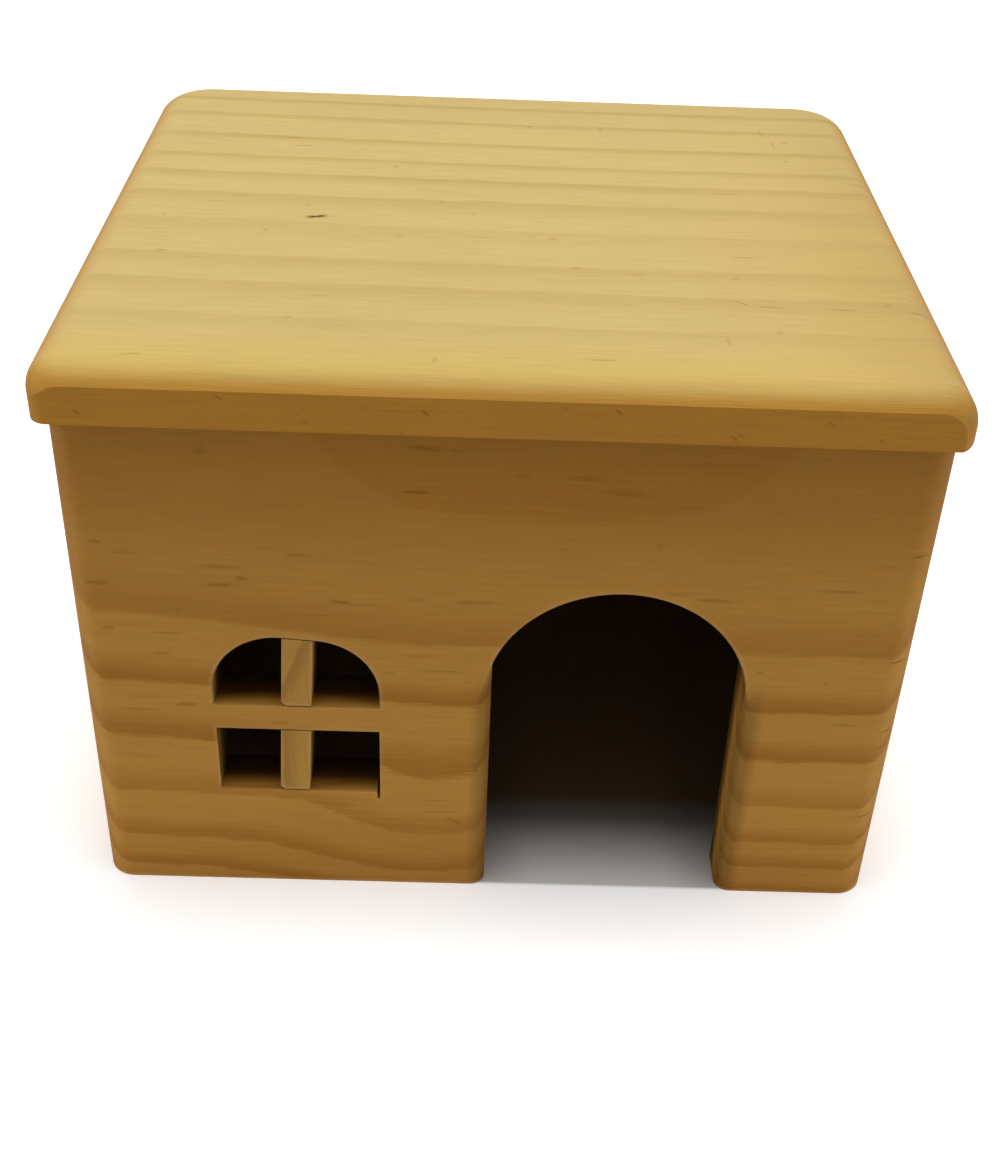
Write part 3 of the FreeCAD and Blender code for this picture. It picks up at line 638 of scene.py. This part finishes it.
FRONT_MARKS = (
    (-13.5, 103.8, 8, 0.7, -3, 0.8), (-8, 103.4, 3.5, 0.5, 0, 0.5), (-51.8, 102, 2.6, 1.8, 0, 0.35),
    (-71.5, 82.7, 2.4, 0.45, -5, 0.7), (-66.5, 80.6, 7, 0.8, -3, 0.3), (-50, 78.1, 10, 0.6, -2, 0.45),
    (-54.5, 76.6, 3, 0.4, 5, 0.4), (-46, 75.7, 2.6, 0.6, -5, 0.8), (-50, 74.1, 7, 0.5, 1, 0.75),
    (-72.5, 73.8, 7, 0.6, 0, 0.7), (-36, 81, 5.5, 0.5, 4, 0.5), (-28.5, 71, 5, 0.6, -3, 0.8),
    (-24, 70.6, 5, 0.4, 0, 0.4), (-14.5, 72, 4, 0.6, 0, 0.4), (-4, 71.8, 11, 0.7, 0, 0.6),
    (-75.4, 67.5, 1.6, 0.7, 0, 0.8), (-71.3, 63.7, 2.8, 0.6, 0, 0.55), (-60.5, 63, 7, 0.4, 1, 0.55),
    (-58.2, 68.3, 1.6, 0.5, 0, 0.4), (3.5, 99, 4, 0.6, 0, 0.45), (14.5, 98.8, 8, 0.9, 0, 0.4),
    (21, 96, 12, 0.8, -1, 0.5), (61.5, 76.6, 10, 0.45, -1, 0.6), (32, 74.9, 5, 0.5, -4, 0.35),
    (39, 73.7, 9, 0.6, -3, 0.65), (69.5, 82.2, 3, 0.4, 0, 0.35), (68.5, 67.2, 8, 0.5, 0, 0.3),
    (-62, 58.1, 4, 0.5, 1, 0.55), (-10, 55.7, 11, 0.4, 0, 0.5), (-19.5, 55, 3.5, 0.4, 0, 0.35),
    (-58.5, 46.1, 5, 0.7, 1, 0.75), (-67, 44.6, 8, 0.4, 0, 0.55), (-41, 42.1, 5, 0.4, 0, 0.4),
    (-11, 22.9, 7, 0.4, 3, 0.4), (-10, 20, 9, 0.4, 1, 0.4), (-7, 17.6, 4.5, 0.5, -25, 0.6),
    (-68, 32.6, 5, 0.4, 0, 0.3), (67, 45.4, 6, 0.4, 0, 0.55), (49.3, 57.6, 1.6, 0.5, 0, 0.4),
    (68, 60.6, 2, 0.6, 0, 0.35), (62, 55.4, 1.4, 0.6, 0, 0.35), (28.2, 85, 2.4, 0.7, 85, 0.35),
    (11, 84, 1.6, 0.6, 0, 0.3), (49, 93.5, 2.4, 0.6, 0, 0.3), (-40, 52, 0.4, 0.3, 0, 0.3),
)


MARK_STRENGTH = 0.62


def add_marks(tree, board, marks, values):
    """Chain the small marks of a board onto the mask given."""
    wobble = noise(tree, board, MARK_WOBBLE, detail=3.0)
    for along, across, length, width, turn, strength in values:
        marks = place_group(tree, "Surface Mark", board=board, wobble=wobble,
                            middle=(along, across, 0.0), turn=math.radians(turn), length=length,
                            width=width, strength=strength * MARK_STRENGTH, marks=marks)["Marks"]
    return marks


# Ramps, as above, over millimetres or over the way that a face looks.
ROOF_ONSET = (-10.0, 40.0, 0.25, 0.66)
ROOF_CONTRAST = (-30.0, 45.0, 0.55, 1.0)
ROOF_FRONT_CONTRAST = (-64.0, -54.0, 0.1, 1.0)
SAW_MARK_SHARE = (-60.0, 75.0, 0.4, 0.75)
SAW_MARK_STRENGTH = (0.9, 0.98, 0.0, 0.5)
GOLD_TO_FRONT = (-54.0, -70.0)
HONEY_TO_RIGHT = (28.0, 80.0)
HONEY_TO_FRONT = (50.0, -20.0, 0.3, 1.0)
RIM_FACES = (0.3, 0.1)
RIGHT_END_FACES = (0.1, 0.4)
DARKER_BACK = (40.0, 72.0, 1.0, 0.94)
DARKER_RIGHT = (50.0, 88.0, 1.0, 0.86)

BOW_MIDDLE = 30.0
BOW_DEPTH = 1.8
SAW_ALONG, SAW_DOWN = 0.82, 0.57
SHOULDER_START = 0.68
SHOULDER_CURVE = 1.3
RIM_LATE_SHARE = 0.2
RIM_LATE = opaque((0.10, 0.038, 0.006))


def roof_saw_marks(tree, board, facing):
    """Slanting marks that the saw left on the front and back edge, more of them to the right."""
    along, width, depth = split(tree, board)
    slant = join(tree, maths(tree, "MULTIPLY_ADD", along, SAW_ALONG,
                             maths(tree, "MULTIPLY", depth, -SAW_DOWN)),
                 maths(tree, "MULTIPLY_ADD", along, SAW_DOWN,
                       maths(tree, "MULTIPLY", depth, SAW_ALONG)), width)
    flecks = place_group(tree, "Resin Flecks", board=slant, length=5.0, height=1.5,
                         share=smooth_step(tree, along, *SAW_MARK_SHARE))["Flecks"]
    upright = smooth_step(tree, maths(tree, "ABSOLUTE", facing), *SAW_MARK_STRENGTH)
    return maths(tree, "MULTIPLY", flecks, upright)


def roof_colours(tree, look, along, width, level):
    """Early and late wood of the roof: golden in front, honey to the right, dark at its edges as
    painted shade, the upright rims also as sawn wood.
    """
    honey = maths(tree, "MULTIPLY", smooth_step(tree, along, *HONEY_TO_RIGHT),
                  smooth_step(tree, width, *HONEY_TO_FRONT))
    top = mix(tree, smooth_step(tree, width, *GOLD_TO_FRONT), opaque(look.early),
              opaque(look.gold))
    top = mix(tree, honey, top, opaque(look.honey))
    # The rounded and upright edges take darker copies of the wood as painted shade, the rims also as
    # sawn wood.
    slope = 1.0 / (1.0 - SHOULDER_START)
    lying = maths(tree, "MULTIPLY_ADD", level, slope, -slope * SHOULDER_START, clamp=True)
    lying = maths(tree, "POWER", lying, SHOULDER_CURVE)
    early = mix(tree, lying, opaque(look.shoulder_painted_shade), top)
    early = mix(tree, smooth_step(tree, level, *RIM_FACES), early, opaque(look.rim_and_painted_shade))
    late = mix(tree, lying, mix(tree, RIM_LATE_SHARE, early, RIM_LATE), opaque(look.late))
    return early, late


def dress_roof(look):
    material, tree, shader = new_material("roof_pine")
    board = board_points(tree, ROOF_AXES, ROOF_HIGH.z)
    along, width = split(tree, board)[:2]
    across = place_group(tree, "Grain Flow", board=board, lean=0.55, wave=look.wave)["Across"]
    bow = maths(tree, "DIVIDE", maths(tree, "SUBTRACT", along, BOW_MIDDLE), 100.0)
    across = maths(tree, "MULTIPLY_ADD", maths(tree, "POWER", bow, 2.0), -BOW_DEPTH, across)
    ring = ring_number(tree, across, ROOF_LINES)
    onset = smooth_step(tree, across, *ROOF_ONSET)
    contrast = maths(tree, "MULTIPLY", smooth_step(tree, across, *ROOF_CONTRAST),
                     smooth_step(tree, across, *ROOF_FRONT_CONTRAST))
    contrast = maths(tree, "MULTIPLY", contrast, look.contrast)
    surface = add_node(tree, "ShaderNodeTexCoord")
    forward, up = split(tree, surface.outputs["Normal"])[1:]
    marks = add_marks(tree, board, roof_saw_marks(tree, board, forward), ROOF_MARKS)
    level = maths(tree, "ABSOLUTE", up)
    early, late = roof_colours(tree, look, along, width, level)
    # The right end's own upright face is left out of the darkening towards it.
    right = maths(tree, "MULTIPLY", along, smooth_step(tree, level, *RIGHT_END_FACES))
    tone = maths(tree, "MULTIPLY", smooth_step(tree, width, *DARKER_BACK),
                 smooth_step(tree, right, *DARKER_RIGHT))
    dress_wood(tree, shader, look, board, ring, ROOF_AXES, onset, fleck_share=0.06, edge=0.07,
               marks=marks, early=early, late=late, contrast=contrast, tone=tone, worn=False)
    give_material("roof", material)


# Bends of the front board's grain: places and ramps in millimetres, and how far the grain moves.
CLIMB_TO_LEFT = (-12.0, -74.0)
CLIMB_PER_HEIGHT, CLIMB_AT_FOOT = 0.14, -3.2
SAG_MIDDLE = -12.0
SAG_DEPTH = (48.0, 16.0, 0.0, 10.5)
SAG_REACH, SAG_REACH_PER_HEIGHT, SAG_REACH_HEIGHT = 23.0, -0.4, 22.0
ARCH_MIDDLE, ARCH_REACH, ARCH_LIMIT = 8.0, 44.0, 1.5
ARCH_DROP = (76.0, 92.0, 0.0, 18.0)
ARCH_FOOT = 76.0


def bend_front_grain(tree, board, across):
    """Grain of the front board: it climbs to the left, sags between the window and the doorway,
    and closes in an arch under the roof."""
    along, height = split(tree, board)[:2]
    climb = maths(tree, "MULTIPLY", smooth_step(tree, along, *CLIMB_TO_LEFT),
                  maths(tree, "MULTIPLY_ADD", height, CLIMB_PER_HEIGHT, CLIMB_AT_FOOT))
    reach = maths(tree, "MULTIPLY_ADD", maths(tree, "MINIMUM", height, SAG_REACH_HEIGHT),
                  SAG_REACH_PER_HEIGHT, SAG_REACH)
    offset = maths(tree, "DIVIDE", maths(tree, "SUBTRACT", along, SAG_MIDDLE), reach)
    bell = maths(tree, "EXPONENT", maths(tree, "MULTIPLY", maths(tree, "POWER", offset, 2.0), -0.5))
    sag = maths(tree, "MULTIPLY", bell, smooth_step(tree, height, *SAG_DEPTH))
    across = maths(tree, "ADD", maths(tree, "SUBTRACT", across, climb), sag)
    side = maths(tree, "DIVIDE", maths(tree, "SUBTRACT", along, ARCH_MIDDLE), ARCH_REACH)
    arch = maths(tree, "MINIMUM", maths(tree, "POWER", side, 4.0), ARCH_LIMIT)
    arch = maths(tree, "MULTIPLY", arch, smooth_step(tree, height, *ARCH_DROP))
    return maths(tree, "MAXIMUM", maths(tree, "SUBTRACT", across, arch),
                 maths(tree, "MINIMUM", across, ARCH_FOOT))


def dress_wall(name, look, axes, outer, lines, lean):
    """Back or side board, whose rings lean towards one of its faces."""
    material, tree, shader = new_material(name + "_pine")
    board = board_points(tree, axes, outer)
    across = place_group(tree, "Grain Flow", board=board, lean=lean, wave=look.wave)["Across"]
    ring = ring_number(tree, across, lines)
    dress_wood(tree, shader, look, board, ring, axes, onset=0.38, fleck_share=0.16)
    give_material(name, material)


# Ramps of the front board and the sticks, as above.
HEART_ONSET = (78.0, 90.0, 0.36, 0.0)
HEART_CONTRAST = (78.0, 90.0, 1.0, 0.6)
HEART_AND_SHADE_UNDER_ROOF = (68.0, 98.0)
SHADOW_AT_FOOT = (26.0, 4.0, 0.0, 0.45)
# Painted shade: the front board's cuts darken inwards, and the doorway's jambs get painted shade at
# their rounding and painted light deeper in.
SHADE_INTO_CUTS = (-8.5, 0.5, 0.1, 0.66)
SHADE_BELOW_ARRIS = (-0.25, -0.02)
RIGHT_JAMB_SHADE = (RIGHT_JAMB + 1.8, RIGHT_JAMB + 4.8, 0.62, 1.0)
RIGHT_JAMB_LIGHT = (-4.5, -1.2, 2.1, 1.0)
LEFT_JAMB_SHADE = (LEFT_JAMB - 1.2, LEFT_JAMB - 4.4, 0.66, 1.0)
LEFT_JAMB_LIGHT = (-4.5, -1.2, 1.6, 1.0)
BETWEEN_JAMBS = (20.0, 25.0)
JAMB_SHADE_INWARDS = (-9.0, -5.0, 0.2, 1.0)
DOORWAY_SIDE = (-14.0, -10.0)
DOORWAY_HEAD = (57.0, 44.0)
BOARD_ENDS = (60.0, 67.0)
BOARD_FOOT = (0.8, 0.2)
STICK_SHADE_INWARDS = (-7.5, -1.5, 0.2, 1.0)

# Growth rings per millimetre.
STICK_RINGS = 0.16
DOWEL_RINGS = 0.6


def front_wall_light_and_shade(tree, board):
    """Painted light and shade of the front board: the cuts darken inwards as painted shade, and the
    doorway's jambs get painted shade where they round over and painted light deeper in.
    """
    along, height, depth = split(tree, board)
    cut = maths(tree, "MAXIMUM", smooth_step(tree, depth, *SHADE_INTO_CUTS),
                smooth_step(tree, depth, *SHADE_BELOW_ARRIS))
    left, right = [maths(tree, "MULTIPLY", smooth_step(tree, along, *shade_ramp),
                         smooth_step(tree, depth, *light_ramp))
                   for shade_ramp, light_ramp in ((LEFT_JAMB_SHADE, LEFT_JAMB_LIGHT), (RIGHT_JAMB_SHADE, RIGHT_JAMB_LIGHT))]
    jamb_light_and_shade = mix_value(tree, smooth_step(tree, along, *BETWEEN_JAMBS), left, right)
    jamb_light_and_shade = maths(tree, "MULTIPLY", jamb_light_and_shade, smooth_step(tree, depth, *JAMB_SHADE_INWARDS))
    doorway = maths(tree, "MULTIPLY", smooth_step(tree, along, *DOORWAY_SIDE),
                    smooth_step(tree, height, *DOORWAY_HEAD))
    tone = mix_value(tree, doorway, cut, jamb_light_and_shade)
    # Neither reaches the ends of the board, its foot or its inner face.
    ends = smooth_step(tree, maths(tree, "ABSOLUTE", along), *BOARD_ENDS)
    foot = smooth_step(tree, height, *BOARD_FOOT)
    plain = maths(tree, "MAXIMUM", ends,
                  maths(tree, "MAXIMUM", foot, far_face(tree, FRONT_AXES[2])))
    return mix_value(tree, plain, tone, 1.0)


def dress_front_wall(look):
    material, tree, shader = new_material("front_wall_pine")
    board = board_points(tree, FRONT_AXES, -FRONT_LOW.y)
    across = place_group(tree, "Grain Flow", board=board, lean=1.6, wave=look.wave)["Across"]
    across = bend_front_grain(tree, board, across)
    ring = ring_number(tree, across, FRONT_LINES)
    onset = smooth_step(tree, across, *HEART_ONSET)
    contrast = maths(tree, "MULTIPLY", smooth_step(tree, across, *HEART_CONTRAST), look.contrast)
    # The board is darker near its heart under the roof, partly as painted shade, and a little at its
    # foot as a painted contact shadow.
    height = split(tree, board)[1]
    heart = maths(tree, "ADD", smooth_step(tree, height, *HEART_AND_SHADE_UNDER_ROOF),
                  smooth_step(tree, height, *SHADOW_AT_FOOT))
    early = mix(tree, heart, opaque(look.early), opaque(look.heart))
    marks = add_marks(tree, board, 0.0, FRONT_MARKS)
    dress_wood(tree, shader, look, board, ring, FRONT_AXES, onset, fleck_share=0.045, edge=0.08,
               marks=marks, early=early, contrast=contrast, tone=front_wall_light_and_shade(tree, board))
    give_material("front_wall", material)


def dress_stick(name, look, slope, start):
    """Upright stick: slope turns its grain a little askew, start shifts its rings, and its sides
    darken inwards as painted shade."""
    material, tree, shader = new_material(name + "_pine")
    board = board_points(tree, STICK_AXES, -FRONT_LOW.y)
    across = place_group(tree, "Grain Flow", board=board, lean=0.4, wave=look.wave)["Across"]
    along, _, depth = split(tree, board)
    across = maths(tree, "MULTIPLY_ADD", along, slope, across)
    ring = maths(tree, "MULTIPLY_ADD", across, STICK_RINGS, start)
    # Painted shade: the stick's sides darken inwards.
    tone = mix_value(tree, far_face(tree, STICK_AXES[2]), smooth_step(tree, depth, *STICK_SHADE_INWARDS),
                     1.0)
    dress_wood(tree, shader, look, board, ring, STICK_AXES, onset=0.3, fleck_share=0.1,
               tone=tone)
    give_material(name, material)


def dress_dowels(name, look, axes):
    material, tree, shader = new_material(name + "_beech")
    board = board_points(tree, axes, 0.0)
    across = place_group(tree, "Grain Flow", board=board, lean=0.7, wave=look.wave)["Across"]
    ring = maths(tree, "MULTIPLY", across, DOWEL_RINGS)
    dress_wood(tree, shader, look, board, ring, axes, onset=0.3, fleck_share=0.6)
    give_material(name, material)


# ---------------------------------------------------------------- studio

WHITE = (1.0, 1.0, 1.0, 1.0)

# Painted shadow on the floor inside the house: part shade where the doorway lets light in, deeper
# shadow further in, and the shadow of the jambs.
THRESHOLD_FLOOR_SHADE = opaque((0.76, 0.75, 0.73))
DEEP_FLOOR_SHADOW = opaque((0.48, 0.33, 0.18))
JAMB_FLOOR_SHADOW = opaque((0.12, 0.09, 0.05))

# Half width, depth and height of the space that counts as inside the house, and ramps over
# distances on the floor, in metres.
COVERED = (FRONT_HIGH.x - 0.008, -FRONT_LOW.y - 0.001, 1.0)
PAST_BOARDS = (0.0, 0.0012)
SHADE_OUTWARDS = (0.08, 0.3, 1.0, 0.35)
DEEP_INSIDE = (FRONT_LOW.y + 0.0215, FRONT_LOW.y + 0.0285)
BESIDE_DOORWAY = (0.012, 0.023, 0.0, 0.2)
NEAR_GLOW = (0.0, 0.06, 0.25, 0.5)
FAR_GLOW = (0.15, 0.8, 0.0, 0.5)

# Place, aim and side of the square lights, in metres; the side light is mirrored to the left.
TOP_LIGHT = (Vector((0.0, 0.0, 1.9)), Vector((0.0, 0.0, 0.0)), 1.2)
SIDE_LIGHT = (Vector((0.8, -0.1, 0.35)), Vector((0.0, 0.0, 0.05)), 0.6)


def seen_rays(tree):
    """Mask of the rays that see the surroundings: straight on, in a gloss or through glass."""
    paths = add_node(tree, "ShaderNodeLightPath").outputs
    seen = maths(tree, "MAXIMUM", paths["Is Camera Ray"], paths["Is Glossy Ray"])
    return maths(tree, "MAXIMUM", seen, paths["Is Transmission Ray"])


def inside_floor_shadow(tree, place):
    """Colour of the floor that is seen through the doorway: painted shadow, paler at the threshold,
    darker deeper in and darkest behind the jambs.
    """
    x, y = split(tree, place)[:2]
    inside = mix(tree, smooth_step(tree, y, *DEEP_INSIDE), THRESHOLD_FLOOR_SHADE, DEEP_FLOOR_SHADOW)
    middle = 0.5 * (LEFT_JAMB + RIGHT_JAMB) / TO_MM
    aside = maths(tree, "ABSOLUTE", maths(tree, "SUBTRACT", x, middle))
    return mix(tree, smooth_step(tree, aside, *BESIDE_DOORWAY), inside, JAMB_FLOOR_SHADOW)


def add_floor(setup):
    """Pale floor, white where it is lit, with the house's own shadow on it, and with painted shadow
    where it is seen inside the house.
    """
    bpy.ops.object.select_all(action="DESELECT")
    bpy.ops.mesh.primitive_plane_add(size=setup.floor_size, location=(0, 0, 0))
    floor = bpy.context.object
    floor.name = "studio_floor"
    material, tree, shader = new_material("studio_floor")
    seen = seen_rays(tree)
    place = add_node(tree, "ShaderNodeTexCoord").outputs["Object"]
    beyond = vector_maths(tree, "SUBTRACT", vector_maths(tree, "ABSOLUTE", place), COVERED)
    beyond = vector_maths(tree, "LENGTH", vector_maths(tree, "MAXIMUM", beyond))
    outside = smooth_step(tree, beyond, *PAST_BOARDS)
    shade = maths(tree, "MULTIPLY", smooth_step(tree, beyond, *SHADE_OUTWARDS), setup.floor_shade)
    shade = maths(tree, "MULTIPLY", shade, outside)
    visible = mix(tree, outside, inside_floor_shadow(tree, place), WHITE)
    feed(tree, mix(tree, seen, shade, visible), shader.inputs["Base Color"])
    glow = maths(tree, "ADD", smooth_step(tree, beyond, *NEAR_GLOW),
                 smooth_step(tree, beyond, *FAR_GLOW))
    glow = maths(tree, "MULTIPLY", glow, maths(tree, "MULTIPLY", outside, seen))
    shader.inputs["Emission Color"].default_value = WHITE
    feed(tree, glow, shader.inputs["Emission Strength"])
    shader.inputs["Roughness"].default_value = 0.9
    shader.inputs["Specular IOR Level"].default_value = 0.0
    floor.data.materials.append(material)


def add_world(setup):
    """Even white light, seen as plain white by the camera."""
    world = bpy.data.worlds.new("studio_sky")
    world.use_nodes = True
    tree = world.node_tree
    ground = tree.nodes["Background"]
    ground.inputs["Color"].default_value = WHITE
    strength = smooth_step(tree, seen_rays(tree), 0.0, 1.0, setup.sky, 1.0)
    feed(tree, strength, ground.inputs["Strength"])
    bpy.context.scene.world = world


def add_softbox(name, place, aim, size, power):
    """Square area light at a place, turned towards the point that it aims at, and never seen."""
    lamp = bpy.data.lights.new(name, "AREA")
    lamp.shape = "SQUARE"
    lamp.size = size
    lamp.energy = power
    light = bpy.data.objects.new(name, lamp)
    bpy.context.scene.collection.objects.link(light)
    light.location = place
    light.rotation_euler = (place - aim).to_track_quat("Z", "Y").to_euler()
    light.visible_camera = False


def add_camera(view):
    lens = bpy.data.cameras.new("camera")
    lens.lens = view.lens
    lens.sensor_width = 36.0
    lens.clip_start = 0.01
    camera = bpy.data.objects.new("camera", lens)
    bpy.context.scene.collection.objects.link(camera)
    camera.matrix_world = (Matrix.Translation(view.place) @ Matrix.Rotation(view.turn, 4, "Z")
                           @ Matrix.Rotation(view.tilt, 4, "X")
                           @ Matrix.Rotation(view.roll, 4, "Z"))
    bpy.context.scene.camera = camera


# ---------------------------------------------------------------- operators

class HOUSE_OT_roof(bpy.types.Operator):
    """Finish the roof board"""
    bl_idname = "hamster_house.roof"
    bl_label = "Roof Board"

    def execute(self, context):
        make_effects()
        dress_roof(context.scene.hamster_house.roof)
        return {"FINISHED"}


class HOUSE_OT_front_wall(bpy.types.Operator):
    """Finish the front board with its doorway and window"""
    bl_idname = "hamster_house.front_wall"
    bl_label = "Front Board"

    def execute(self, context):
        make_effects()
        dress_front_wall(context.scene.hamster_house.walls)
        return {"FINISHED"}


class HOUSE_OT_plain_walls(bpy.types.Operator):
    """Finish the back board and the two side boards"""
    bl_idname = "hamster_house.plain_walls"
    bl_label = "Back and Side Boards"

    def execute(self, context):
        make_effects()
        look = context.scene.hamster_house.walls
        dress_wall("back_wall", look, BACK_AXES, BACK_HIGH.y, BACK_LINES, lean=1.2)
        dress_wall("left_wall", look, LEFT_AXES, FRONT_HIGH.x, LEFT_LINES, lean=-0.9)
        dress_wall("right_wall", look, RIGHT_AXES, FRONT_HIGH.x, RIGHT_LINES, lean=1.1)
        return {"FINISHED"}


class HOUSE_OT_window_sticks(bpy.types.Operator):
    """Finish the two upright sticks of the window"""
    bl_idname = "hamster_house.window_sticks"
    bl_label = "Window Sticks"

    def execute(self, context):
        make_effects()
        look = context.scene.hamster_house.sticks
        dress_stick("window_muntin_upper", look, slope=0.4, start=1.3)
        dress_stick("window_muntin_lower", look, slope=0.05, start=5.2)
        return {"FINISHED"}


class HOUSE_OT_dowels(bpy.types.Operator):
    """Finish the dowels inside the joints"""
    bl_idname = "hamster_house.dowels"
    bl_label = "Dowels"

    def execute(self, context):
        make_effects()
        look = context.scene.hamster_house.dowels
        dress_dowels("front_wall_dowels", look, LYING_DOWEL_AXES)
        dress_dowels("back_wall_dowels", look, LYING_DOWEL_AXES)
        dress_dowels("roof_dowels", look, STANDING_DOWEL_AXES)
        return {"FINISHED"}


class HOUSE_OT_stage(bpy.types.Operator):
    """Set up the floor, the lights and the camera"""
    bl_idname = "hamster_house.stage"
    bl_label = "Studio"

    def execute(self, context):
        settings = context.scene.hamster_house
        studio = settings.studio
        add_floor(studio)
        add_world(studio)
        add_softbox("top_light", *TOP_LIGHT, studio.top_light)
        place, aim, size = SIDE_LIGHT
        for name, side in (("left_light", -1.0), ("right_light", 1.0)):
            add_softbox(name, place * Vector((side, 1.0, 1.0)), aim, size, studio.side_light)
        add_camera(settings.camera)
        context.scene.view_settings.view_transform = "Standard"
        return {"FINISHED"}


class HOUSE_PT_panel(bpy.types.Panel):
    """Hamster house panel of the sidebar"""
    bl_label = "Hamster House"
    bl_idname = "HOUSE_PT_panel"
    bl_space_type = "VIEW_3D"
    bl_region_type = "UI"
    bl_category = "Hamster House"

    def draw(self, context):
        settings = context.scene.hamster_house
        for group in ("roof", "walls", "sticks", "dowels", "studio", "camera"):
            box = self.layout.box()
            box.label(text=group.title())
            owner = getattr(settings, group)
            for name in owner.bl_rna.properties.keys():
                if name not in ("name", "rna_type"):
                    box.prop(owner, name)
        for operator in OPERATORS:
            self.layout.operator(operator.bl_idname)


OPERATORS = (HOUSE_OT_roof, HOUSE_OT_front_wall, HOUSE_OT_plain_walls, HOUSE_OT_window_sticks,
             HOUSE_OT_dowels, HOUSE_OT_stage)
CLASSES = (RoofFinish, WallFinish, StickFinish, DowelFinish, StudioSetup, CameraSetup,
           HouseSettings) + OPERATORS + (HOUSE_PT_panel,)


def register():
    for item in CLASSES:
        bpy.utils.register_class(item)
    bpy.types.Scene.hamster_house = PointerProperty(type=HouseSettings)


def unregister():
    del bpy.types.Scene.hamster_house
    for item in reversed(CLASSES):
        bpy.utils.unregister_class(item)


def main():
    register()
    bpy.ops.hamster_house.roof()
    bpy.ops.hamster_house.front_wall()
    bpy.ops.hamster_house.plain_walls()
    bpy.ops.hamster_house.window_sticks()
    bpy.ops.hamster_house.dowels()
    bpy.ops.hamster_house.stage()


if __name__ == "__main__":
    main()
